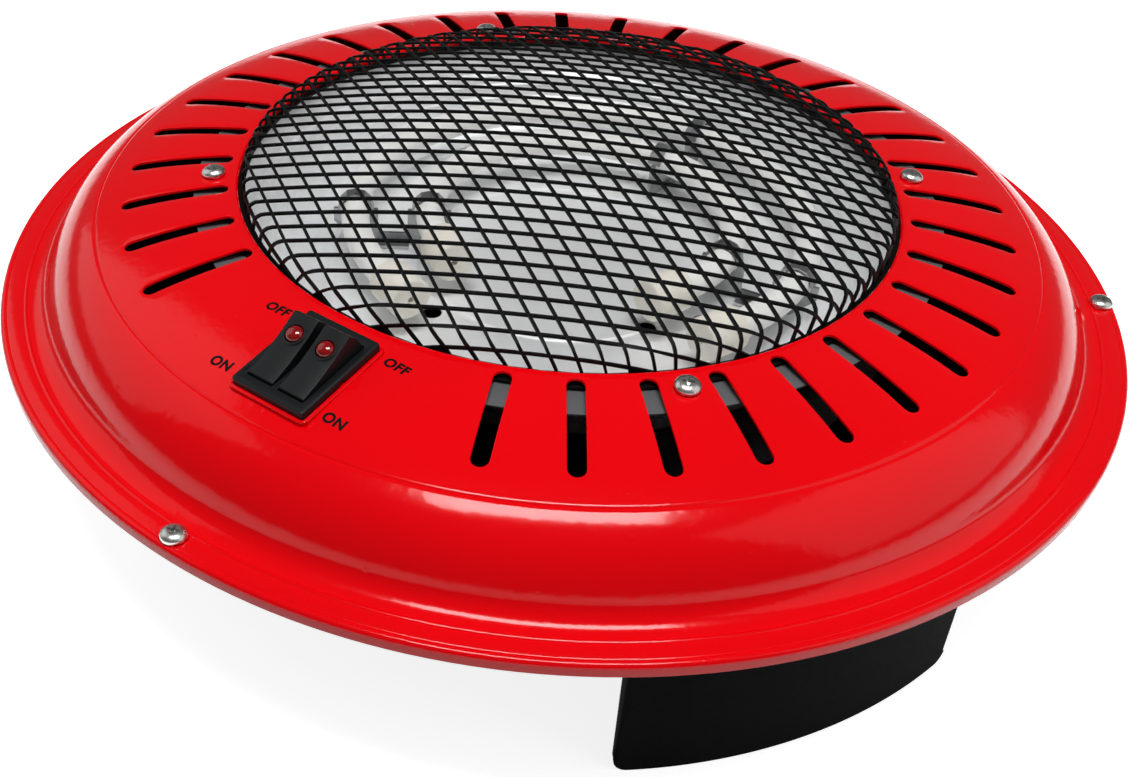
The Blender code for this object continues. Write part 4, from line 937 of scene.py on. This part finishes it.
def make_guard(s):
    """The mesh guard: expanded steel drawn to a dome, down a wall and out into a flange."""
    section = guard_section(s)
    reach = section[4]
    form = guard_cells(s, reach)
    border = [edge for edge in form.edges if edge.is_boundary]
    bmesh.ops.bisect_edges(form, edges=[e for e in form.edges if not e.is_boundary], cuts=3)
    cells = form.faces[:]
    for vert in verts_in(bmesh.ops.extrude_edge_only(form, edges=border)["geom"]):
        vert.co = vert.co.normalized() * (reach + s.guard_flange - s.guard_wall)
    least = ROOMY * s.strand
    roomy = [cell for cell in cells if 2 * cell.calc_area() > least * cell.calc_perimeter()]
    bmesh.ops.inset_individual(form, faces=roomy, thickness=s.strand / 2, use_even_offset=True)
    bmesh.ops.delete(form, geom=roomy, context="FACES_ONLY")
    base = s.rim_height + s.opening_rise - s.lip - s.gap
    for vert in form.verts:
        away = vert.co.normalized()
        radius, height = guard_point(s, section, vert.co.length)
        vert.co = Vector((away.x * radius, away.y * radius, base + height))
    form = with_modifier(form, "SOLIDIFY", thickness=s.guard_sheet, offset=-1)
    finished("expanded_guard", form, "guard_black", ["mesh_guard"])


# Bowl


def bowl_line(s):
    """Bright side of the bowl, from the middle of its floor to its flange's edge."""
    floor = s.bowl_floor_rise
    flange = s.opening_rise - s.lip - 2 * s.gap - s.guard_sheet
    line = [(0, floor)]
    width = FLOOR_RIDGE_HALF * s.bowl_floor
    ridge = floor - FLOOR_RIDGE_DEPTH * s.bowl_sheet
    for reach in FLOOR_RIDGES:
        line += [(s.bowl_floor * reach + width * side, height)
                 for side, height in ((-2, floor), (-1, ridge), (1, ridge), (2, floor))]
    line += [(s.bowl_floor, floor), (s.bowl_floor + s.bowl_toe, floor + s.bowl_toe)]
    toe = Vector(line[-1])
    ledge = Vector((s.bowl_ledge, s.bowl_ledge_rise))
    for share in WALL_RIDGES:
        for step, out in ((-WALL_RIDGE_HALF, 0), (0, WALL_RIDGE_DEPTH), (WALL_RIDGE_HALF, 0)):
            spot = toe.lerp(ledge, share + step)
            line.append((spot.x - out * s.bowl_sheet, spot.y))
    line += [tuple(ledge), (s.bowl_ledge + s.bowl_ledge_width, s.bowl_ledge_rise),
             (s.opening, flange), (s.bowl_flange, flange)]
    return line


def make_bowl(s):
    """The spun reflector bowl with its ridges, screw holes, notch and lead holes."""
    line = rounded(bowl_line(s), s.bowl_toe / 2)
    form = spun(line + beside(line, s.bowl_sheet)[::-1], BOWL_STEPS)
    move(form, Matrix.Translation((0, 0, s.rim_height)))
    holes = bmesh.new()
    low = s.rim_height + s.bowl_ledge_rise
    for angle in TOP_SCREW_ANGLES:
        spot = place_at(s.top_screw, math.radians(angle), low)
        add_rod(holes, s.screw_hole, s.opening_rise, 20, spot)
    for x, y in LEAD_HOLES:
        spot = Matrix.Translation((mm(x), mm(y), s.rim_height - s.bowl_toe))
        add_rod(holes, 1.4 * s.screw_hole, 3 * s.bowl_toe, 24, spot)
    form = combined(form, holes)
    width, length = body_size(s)
    notch = (width + 2 * s.gap, length + 4 * s.gap, 3 * s.well_depth)
    form = combined(form, move(block(notch, (0, 0, 0)), switch_place(s)))
    finished("spun_bowl", form, "polished_aluminium", ["reflector"])


# Tubes


def bent_tube(ring, start, end, radii, straight):
    """A tube along most of a ring, with straight ends, closed between its outside and its bore."""
    form = bmesh.new()
    ends = []
    for radius in radii:
        made = bmesh.ops.create_circle(form, segments=24, radius=radius)["verts"]
        place = Matrix.Translation((straight, -ring, 0)) @ Matrix.Rotation(math.pi / 2, 4, "Y")
        bmesh.ops.transform(form, matrix=place, verts=made)
        edges = list({edge for vert in made for edge in vert.link_edges})
        ends.append(edges)
        grown = bmesh.ops.extrude_edge_only(form, edges=edges)["geom"]
        verts = verts_in(grown)
        bmesh.ops.translate(form, verts=verts, vec=(-straight, 0, 0))
        loop = edges_within(grown, verts)
        swept = bmesh.ops.spin(form, geom=verts + loop, axis=(0, 0, 1), cent=(0, 0, 0),
                               angle=start - end, steps=90)["geom_last"]
        last = edges_within(swept, verts_in(swept))
        grown = bmesh.ops.extrude_edge_only(form, edges=last)["geom"]
        verts = verts_in(grown)
        ahead = Matrix.Rotation(start - end, 3, "Z") @ Vector((-straight, 0, 0))
        bmesh.ops.translate(form, verts=verts, vec=ahead)
        ends.append(edges_within(grown, verts))
    for near, far in ((0, 2), (1, 3)):
        bore = {vert for edge in ends[far] for vert in edge.verts}
        for edge in ends[near]:
            a, b = edge.verts
            c, d = (min(bore, key=lambda vert: (vert.co - corner.co).length) for corner in (b, a))
            form.faces.new((a, b, c, d))
    bmesh.ops.rotate(form, verts=form.verts, cent=(0, 0, 0),
                     matrix=Matrix.Rotation(-start, 3, "Z"))
    return form


def cap_line(s):
    """Section of an end cap, with its socket for the tube and the hole for the lead."""
    socket = s.tube + s.gap
    far = s.cap_length - s.cap_socket
    rim = s.cap - socket
    line = [(socket, s.gap), (socket, -s.cap_socket)]
    line += arc((s.cap - rim / 3, -s.cap_socket), (s.cap, -s.cap_socket + rim / 3),
                -math.pi / 2, 4)
    line += arc((s.cap, far - rim / 2), (s.cap - rim / 2, far), -math.pi / 2, 5)
    return line + [(s.cap_lead, far), (s.cap_lead, s.gap)]


def make_ring(s, label, ring, ends):
    """One quartz tube and its two ceramic caps. The ends are angles in degrees."""
    start, end = (math.radians(angle) for angle in ends)
    centre = Matrix.Translation((0, s.ring_setback, s.rim_height + s.tube_rise))
    tube = bent_tube(ring, start, end, (s.tube, s.tube_bore), s.tube_end)
    finished(f"{label}_drawn_tube", move(tube, centre), "frosted_quartz", [f"{label}_quartz_tube"])
    for number, (angle, side) in enumerate(((start, 1), (end, -1)), 1):
        turn = Matrix.Rotation(-angle, 4, "Z") @ Matrix.Translation((side * s.tube_end, -ring, 0))
        aim = Matrix.Rotation(side * math.pi / 2, 4, "Y")
        form = move(spun(cap_line(s), 40), centre @ turn @ aim)
        finished(f"{label}_pressed_cap_{number}", form, "cream_ceramic",
                 [f"{label}_end_cap_{number}"])


# Switch


def make_housing(s):
    """Bezel and body in one moulding, with a well for each rocker."""
    top = s.gap + s.bezel_height
    high = s.gap + s.bezel_height / 2
    form = block((s.bezel_width, s.bezel_length, s.bezel_height), (0, 0, high))
    soften(form, [edge for edge in form.edges if upright(edge)], BEZEL_CORNER, 5)
    soften(form, [edge for edge in form.edges if steep(edge, 60)
                  and min(vert.co.z for vert in edge.verts) > top - s.gap], BEZEL_EDGE, 4)
    width, length = body_size(s)
    depth = s.well_depth - top + BODY_DEPTH
    body = block((width, length, high + depth), (0, 0, (high - depth) / 2))
    form = combined(form, body, "UNION")
    for side in (-1, 1):
        well = block((s.well_width, s.well_length, 2 * s.well_depth),
                     (side * s.rocker_offset, 0, top))
        soften(well, [edge for edge in well.edges if upright(edge)], WELL_CORNER, 4)
        form = combined(form, well)
    rims = [edge for edge in form.edges if steep(edge, 60)
            and min(vert.co.z for vert in edge.verts) > top - s.gap / 2]
    soften(form, rims, WELL_EDGE, 2)
    form = combined(form, pin_bore(width, top - s.pivot_depth))
    for x, y in MARK_PLACES:
        form = combined(form, block(MARK_SIZE, (x, y, top)), "UNION")
    finished("moulded_housing", move(form, switch_place(s)), "charcoal_plastic",
             ["switch_housing"])


def pin_bore(reach, height):
    """The bore for the pivot pin, that far to both sides and at this height."""
    bore = bmesh.new()
    spot = Matrix.Translation((-reach, 0, height)) @ Matrix.Rotation(math.pi / 2, 4, "Y")
    add_rod(bore, PIVOT_HOLE, 2 * reach, 16, spot)
    return bore


def rocker_top(s, share):
    """Height of a rocker's top over its pivot, at this share of its half length."""
    return s.rocker_height - s.rocker_dish * (1 - share ** 2)


def rocker_outline(s):
    """Side of a rocker: a dished top, round ends about the pivot and a flat bottom."""
    half = s.rocker_chord / 2
    reach = math.hypot(half, s.rocker_height)
    shares = [step / 12 - 1 for step in range(24)]
    points = [(half * share, rocker_top(s, share)) for share in shares]
    high = math.atan2(s.rocker_height, half)
    bend = [high - (high + s.rocker_skirt) * step / 10 for step in range(11)]
    for side, angles in ((1, bend), (-1, bend[::-1])):
        points += [(side * reach * math.cos(angle), reach * math.sin(angle)) for angle in angles]
    return points[:-1]


def make_rocker(s, label, side):
    """A rocker with rounded edges, and its lens in a low collar."""
    pivot = Matrix.Translation((side * s.rocker_offset, 0, s.gap + s.bezel_height - s.pivot_depth))
    rest = switch_place(s) @ pivot @ Matrix.Rotation(s.rocker_swing, 4, "X")
    across = Matrix(((0, 0, 1, 0), (1, 0, 0, 0), (0, 1, 0, 0), (0, 0, 0, 1)))
    form = bmesh.new()
    width = s.rocker_width
    add_prism(form, rocker_outline(s), width, Matrix.Translation((-width / 2, 0, 0)) @ across)
    sides = [edge for edge in form.edges if steep(edge, 60) and not crosses(edge, width)
             and min(vert.co.z for vert in edge.verts) > 0]
    soften(form, sides, ROCKER_EDGE, 3)
    ends = [edge for edge in form.edges if crosses(edge, width)
            and edge.verts[0].co.z > s.rocker_height * ROCKER_END_SHARE and steep(edge, 20)]
    soften(form, ends, ROCKER_END, 3)
    form = combined(form, pin_bore(width, 0))
    seat = Matrix.Translation((0, s.lens_reach, rocker_top(s, 2 * s.lens_reach / s.rocker_chord)))
    form = combined(form, move(spun(collar_line(s), 32), seat), "UNION")
    recess = bmesh.new()
    add_rod(recess, s.lens_radius + s.gap, 3 * s.lens_depth, 32,
            seat @ Matrix.Translation((0, 0, -s.lens_depth - s.gap)))
    form = combined(form, recess)
    body = f"{label}_rocker"
    finished(f"moulded_rocker_{label}", move(form, rest), "charcoal_plastic",
             [f"rocker_{label}"], body)
    finished(f"polished_lens_{label}", move(spun(lens_line(s), 32), rest @ seat), "red_lens",
             [f"lens_{label}"], body)


def crosses(edge, width):
    """Whether this edge runs across more than half of a piece that is this wide."""
    return abs(edge.verts[0].co.x - edge.verts[1].co.x) > width / 2


def collar_line(s):
    """Section of the low collar round a lens."""
    inner = s.lens_radius + s.gap
    return [(inner - s.gap / 2, -s.gap * 2), (inner + COLLAR_WIDTH, -s.gap * 2),
            (inner + COLLAR_WIDTH, COLLAR_SIDE), (inner + COLLAR_TOP, COLLAR_HEIGHT),
            (inner, COLLAR_HEIGHT), (inner - s.gap / 2, COLLAR_MOUTH)]


def lens_line(s):
    """Section of a domed lens."""
    angles = [math.pi / 2 * step / 10 for step in range(10)]
    dome = [(s.lens_radius * math.cos(a), s.lens_dome * math.sin(a)) for a in angles]
    return [(0, -s.lens_depth), (s.lens_radius, -s.lens_depth)] + dome + [(0, s.lens_dome)]


def printed_word(s, name, word, x, y):
    """A word printed on the cover, with its middle in millimetres in the switch's frame."""
    curve = bpy.data.curves.new(name, "FONT")
    curve.body = word
    curve.size = s.word_height / CAPITAL_SHARE
    curve.align_x = "CENTER"
    curve.align_y = "CENTER"
    curve.space_character = WORD_SPACING
    curve.offset = s.word_height * WORD_BOLDNESS
    curve.extrude = s.gap / 20
    text = bpy.data.objects.new(name, curve)
    bpy.context.scene.collection.objects.link(text)
    bpy.context.view_layer.update()
    graph = bpy.context.evaluated_depsgraph_get()
    mesh = bpy.data.meshes.new_from_object(text.evaluated_get(graph))
    form = bmesh.new()
    form.from_mesh(mesh)
    bpy.data.objects.remove(text)
    bpy.data.curves.remove(curve)
    bpy.data.meshes.remove(mesh)
    spot = switch_place(s) @ Vector((mm(x), mm(y), 0))
    for vert in form.verts:
        lift = vert.co.z + s.gap / 8
        flat = Vector((spot.x + vert.co.x, spot.y + vert.co.y, 0))
        vert.co = Vector((flat.x, flat.y, s.rim_height + ring_rise(s, flat.length) + lift))
    finished(name, form, "black_paint", [], material="ink")


# Feet


def foot_span(s, height, top):
    """Half the angle of a foot's plate at this height, less near its rounded lower corners."""
    share = max(height - s.foot_corner, 0) / (top - s.foot_corner)
    span = s.foot_low + (s.foot_high - s.foot_low) * share
    missing = max(s.foot_corner - height, 0)
    cut = s.foot_corner - math.sqrt(max(s.foot_corner ** 2 - missing ** 2, 0))
    return span - cut / s.foot


def foot_top(s):
    """Height of a foot's tab, right under the pan's flange."""
    return s.rim_height + s.flange_rise - s.sheet - 2 * s.gap - PAN_SHEET


def foot_heights(s, top):
    """Heights of the plate's rows: its rounded corners, then its straight sides."""
    bend = [math.pi / 2 * step / CORNER_STEPS for step in range(CORNER_STEPS + 1)]
    heights = [s.foot_corner * (1 - math.cos(angle)) for angle in bend]
    return heights + [s.foot_corner + (top - s.foot_corner) * step / SIDE_STEPS
                      for step in range(1, SIDE_STEPS + 1)]


def foot_depth(s, height, top):
    """Depth of a foot's folded sides at this height."""
    rise = (height - s.foot_corner) / (top - s.foot_corner)
    return s.foot_return * (SIDE_TAPER + (1 - SIDE_TAPER) * rise)


def fold_in(s, form, edges, depth_at):
    """Extrudes these edges of a foot's plate towards the axis, by the depth at their height."""
    for vert in verts_in(bmesh.ops.extrude_edge_only(form, edges=edges)["geom"]):
        share = 1 - depth_at(vert.co.z) / s.foot
        vert.co.x *= share
        vert.co.y *= share


def foot_form(s):
    """A curved plate with folded sides that taper downwards, and a tab along its top."""
    top = foot_top(s)
    heights = foot_heights(s, top)
    last = len(heights) - 1
    form = bmesh.new()
    bmesh.ops.create_grid(form, x_segments=PLATE_STEPS, y_segments=last, size=0.5)
    for vert in form.verts:
        height = heights[round((vert.co.y + 0.5) * last)]
        vert.co = around(s.foot, -2 * vert.co.x * foot_span(s, height, top), height)
    border = [edge for edge in form.edges if edge.is_boundary
              and min(vert.co.z for vert in edge.verts) > s.foot_corner - s.gap]
    sides = [edge for edge in border if upright(edge)]
    tab = [edge for edge in border if not upright(edge)]
    fold_in(s, form, tab, lambda height: s.foot_return)
    fold_in(s, form, sides, lambda height: foot_depth(s, height, top))
    bmesh.ops.remove_doubles(form, verts=form.verts, dist=MERGE)
    bmesh.ops.recalc_face_normals(form, faces=form.faces)
    soften(form, [edge for edge in form.edges if steep(edge, 60)], FOLD_RADIUS, 4)
    return with_modifier(form, "SOLIDIFY", thickness=s.foot_sheet, offset=-1)


def make_feet(s):
    """Three feet, pierced for the rivets that hold them under the pan's flange."""
    plate = foot_form(s)
    low = foot_top(s) - 2 * s.foot_sheet
    circle = s.foot - (s.foot_return + s.foot_sheet) / 2
    for number, angle in enumerate(FOOT_ANGLES, 1):
        form = move(plate.copy(), Matrix.Rotation(-math.radians(angle), 4, "Z"))
        holes = bmesh.new()
        for side in (-1, 1):
            spot = place_at(circle, math.radians(angle + side * RIVET_SPAN), low)
            add_rod(holes, RIVET_HOLE, 3 * s.foot_sheet, 16, spot)
        finished(f"folded_foot_{number}", combined(form, holes), "black_paint",
                 [f"foot_{number}"])
    plate.free()


# Stage


def camera_axes(azimuth, elevation, roll):
    """Right, up and back of a camera that looks down from that azimuth, all in degrees."""
    a, e, r = (math.radians(x) for x in (azimuth, elevation, roll))
    right = Vector((math.cos(a), math.sin(a), 0))
    back = Vector((math.sin(a) * math.cos(e), -math.cos(a) * math.cos(e), math.sin(e)))
    up = back.cross(right)
    return (right * math.cos(r) + up * math.sin(r), up * math.cos(r) - right * math.sin(r), back)


def make_camera():
    """The camera stands where the photograph was taken from."""
    data = bpy.data.cameras.new("camera")
    data.sensor_width = CAMERA_SENSOR
    data.lens = CAMERA_LENS
    data.shift_x, data.shift_y = CAMERA_SHIFT
    camera = bpy.data.objects.new("camera", data)
    turn = Matrix(camera_axes(*CAMERA_TURN)).transposed().to_4x4()
    camera.matrix_world = Matrix.Translation(CAMERA_PLACE) @ turn
    bpy.context.scene.collection.objects.link(camera)
    bpy.context.scene.camera = camera


def floor_material():
    """Matt paper, nearly even white also in metal and glass, that keeps a light shadow."""
    material, tree, place = start_material("Paper, matt white")
    path = add(tree, "LightPath")
    cloud = add(tree, "TexNoise", {"Vector": place, "Scale": per_metre(400)})
    first, second = (opaque(linear(code)) for code in PAPER_TONES)
    tone = add(tree, "MixRGB", {"Fac": cloud.outputs["Fac"], "Color1": first, "Color2": second})
    matt = add(tree, "BsdfDiffuse", {"Color": tone.outputs["Color"]})
    dim = add(tree, "BsdfDiffuse", {"Color": opaque(linear(PAPER_DIM))})
    shine = add(tree, "Emission", {"Color": opaque((1, 1, 1)), "Strength": FLOOR_GLOW})
    both = add(tree, "AddShader", {0: matt.outputs[0], 1: shine.outputs[0]})
    seen = add(tree, "Math", {0: path.outputs["Is Camera Ray"], 1: path.outputs["Is Glossy Ray"]},
               operation="MAXIMUM")
    seen = add(tree, "Math", {0: seen.outputs[0], 1: path.outputs["Is Transmission Ray"]},
               operation="MAXIMUM")
    shown = add(tree, "MixShader", {0: seen.outputs[0], 1: dim.outputs[0], 2: both.outputs[0]})
    return end_material(material, shown)


def make_floor(half_width):
    """The sheet of paper that the brazier stands on."""
    mesh = bpy.data.meshes.new("floor")
    form = bmesh.new()
    bmesh.ops.create_grid(form, x_segments=1, y_segments=1, size=half_width)
    form.to_mesh(mesh)
    form.free()
    floor = bpy.data.objects.new("floor", mesh)
    floor.data.materials.append(floor_material())
    bpy.context.scene.collection.objects.link(floor)


def make_lamp(name, place, size, watts):
    """A soft rectangular lamp that faces the brazier."""
    data = bpy.data.lights.new(name, "AREA")
    data.shape = "RECTANGLE"
    data.size, data.size_y = size
    data.energy = watts
    lamp = bpy.data.objects.new(name, data)
    turn = (Vector(LAMP_AIM) - Vector(place)).to_track_quat("-Z", "Y")
    lamp.matrix_world = Matrix.Translation(place) @ turn.to_matrix().to_4x4()
    bpy.context.scene.collection.objects.link(lamp)


def make_world():
    """An even dim light from all round."""
    world = bpy.data.worlds.new("studio")
    world.use_nodes = True
    tree = world.node_tree
    tree.nodes.clear()
    sky = add(tree, "Background", {"Color": opaque((1, 1, 1)), "Strength": SKY_STRENGTH})
    add(tree, "OutputWorld", {"Surface": sky.outputs[0]})
    bpy.context.scene.world = world


# Operators


class BRAZIER_OT_cover(bpy.types.Operator):
    """Makes the enamelled cover"""

    bl_idname = "brazier.cover"
    bl_label = "Cover"

    def execute(self, context):
        make_cover(context.scene.brazier_sizes)
        return {"FINISHED"}


class BRAZIER_OT_screws(bpy.types.Operator):
    """Makes the cross-head screws on the cover"""

    bl_idname = "brazier.screws"
    bl_label = "Screws"

    def execute(self, context):
        make_screws(context.scene.brazier_sizes)
        return {"FINISHED"}


class BRAZIER_OT_guard(bpy.types.Operator):
    """Makes the mesh guard"""

    bl_idname = "brazier.guard"
    bl_label = "Mesh guard"

    def execute(self, context):
        make_guard(context.scene.brazier_sizes)
        return {"FINISHED"}


class BRAZIER_OT_bowl(bpy.types.Operator):
    """Makes the reflector bowl"""

    bl_idname = "brazier.bowl"
    bl_label = "Reflector bowl"

    def execute(self, context):
        make_bowl(context.scene.brazier_sizes)
        return {"FINISHED"}


class BRAZIER_OT_tubes(bpy.types.Operator):
    """Makes both quartz tubes and their end caps"""

    bl_idname = "brazier.tubes"
    bl_label = "Tubes"

    def execute(self, context):
        sizes = context.scene.brazier_sizes
        make_ring(sizes, "outer", sizes.outer_ring, OUTER_TUBE_ENDS)
        make_ring(sizes, "inner", sizes.inner_ring, INNER_TUBE_ENDS)
        return {"FINISHED"}


class BRAZIER_OT_switch(bpy.types.Operator):
    """Makes the twin rocker switch with its lenses"""

    bl_idname = "brazier.switch"
    bl_label = "Switch"

    def execute(self, context):
        sizes = context.scene.brazier_sizes
        make_housing(sizes)
        make_rocker(sizes, "left", -1)
        make_rocker(sizes, "right", 1)
        return {"FINISHED"}


class BRAZIER_OT_words(bpy.types.Operator):
    """Prints ON and OFF beside both rockers"""

    bl_idname = "brazier.words"
    bl_label = "Printed words"

    def execute(self, context):
        for name, word, x, y in WORDS:
            printed_word(context.scene.brazier_sizes, name, word, x, y)
        return {"FINISHED"}


class BRAZIER_OT_feet(bpy.types.Operator):
    """Makes the three folded feet"""

    bl_idname = "brazier.feet"
    bl_label = "Feet"

    def execute(self, context):
        make_feet(context.scene.brazier_sizes)
        return {"FINISHED"}


class BRAZIER_OT_frame(bpy.types.Operator):
    """Gives every piece of the frame the finish of its material slot"""

    bl_idname = "brazier.frame"
    bl_label = "Frame finishes"

    def execute(self, context):
        for part in frame["record"]["subparts"]:
            dress(frame["nodes"][part["node"]], part["material_slot"])
        return {"FINISHED"}


class BRAZIER_OT_stage(bpy.types.Operator):
    """Sets up the camera, the floor, the lamps and the world"""

    bl_idname = "brazier.stage"
    bl_label = "Stage"

    def execute(self, context):
        context.scene.view_settings.view_transform = "Standard"
        make_camera()
        make_floor(context.scene.brazier_sizes.floor)
        make_world()
        for name, place, size, watts in LAMPS:
            make_lamp(name, place, size, watts)
        return {"FINISHED"}


class BRAZIER_PT_panel(bpy.types.Panel):
    """Lists the brazier's pieces, sizes and finishes"""

    bl_idname = "BRAZIER_PT_panel"
    bl_label = "Brazier"
    bl_space_type = "VIEW_3D"
    bl_region_type = "UI"
    bl_category = "Brazier"

    def draw(self, context):
        for operator in OPERATORS:
            self.layout.operator(operator.bl_idname)
        for group in (context.scene.brazier_sizes, context.scene.brazier_finishes):
            for name in group.__annotations__:
                self.layout.prop(group, name)


OPERATORS = (
    BRAZIER_OT_frame, BRAZIER_OT_cover, BRAZIER_OT_screws, BRAZIER_OT_guard, BRAZIER_OT_bowl,
    BRAZIER_OT_tubes, BRAZIER_OT_switch, BRAZIER_OT_words, BRAZIER_OT_feet, BRAZIER_OT_stage,
)
CLASSES = (BrazierFinishes, BrazierSizes, *OPERATORS, BRAZIER_PT_panel)


def register():
    """Registers the classes and hangs both groups on the scene."""
    for item in CLASSES:
        bpy.utils.register_class(item)
    bpy.types.Scene.brazier_finishes = PointerProperty(type=BrazierFinishes)
    bpy.types.Scene.brazier_sizes = PointerProperty(type=BrazierSizes)


def unregister():
    """Takes both groups and the classes away again."""
    del bpy.types.Scene.brazier_sizes
    del bpy.types.Scene.brazier_finishes
    for item in reversed(CLASSES):
        bpy.utils.unregister_class(item)


def main():
    """Makes every piece in order."""
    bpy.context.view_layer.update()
    register()
    for operator in OPERATORS:
        getattr(bpy.ops.brazier, operator.bl_idname.split(".")[1])()


if __name__ == "__main__":
    main()
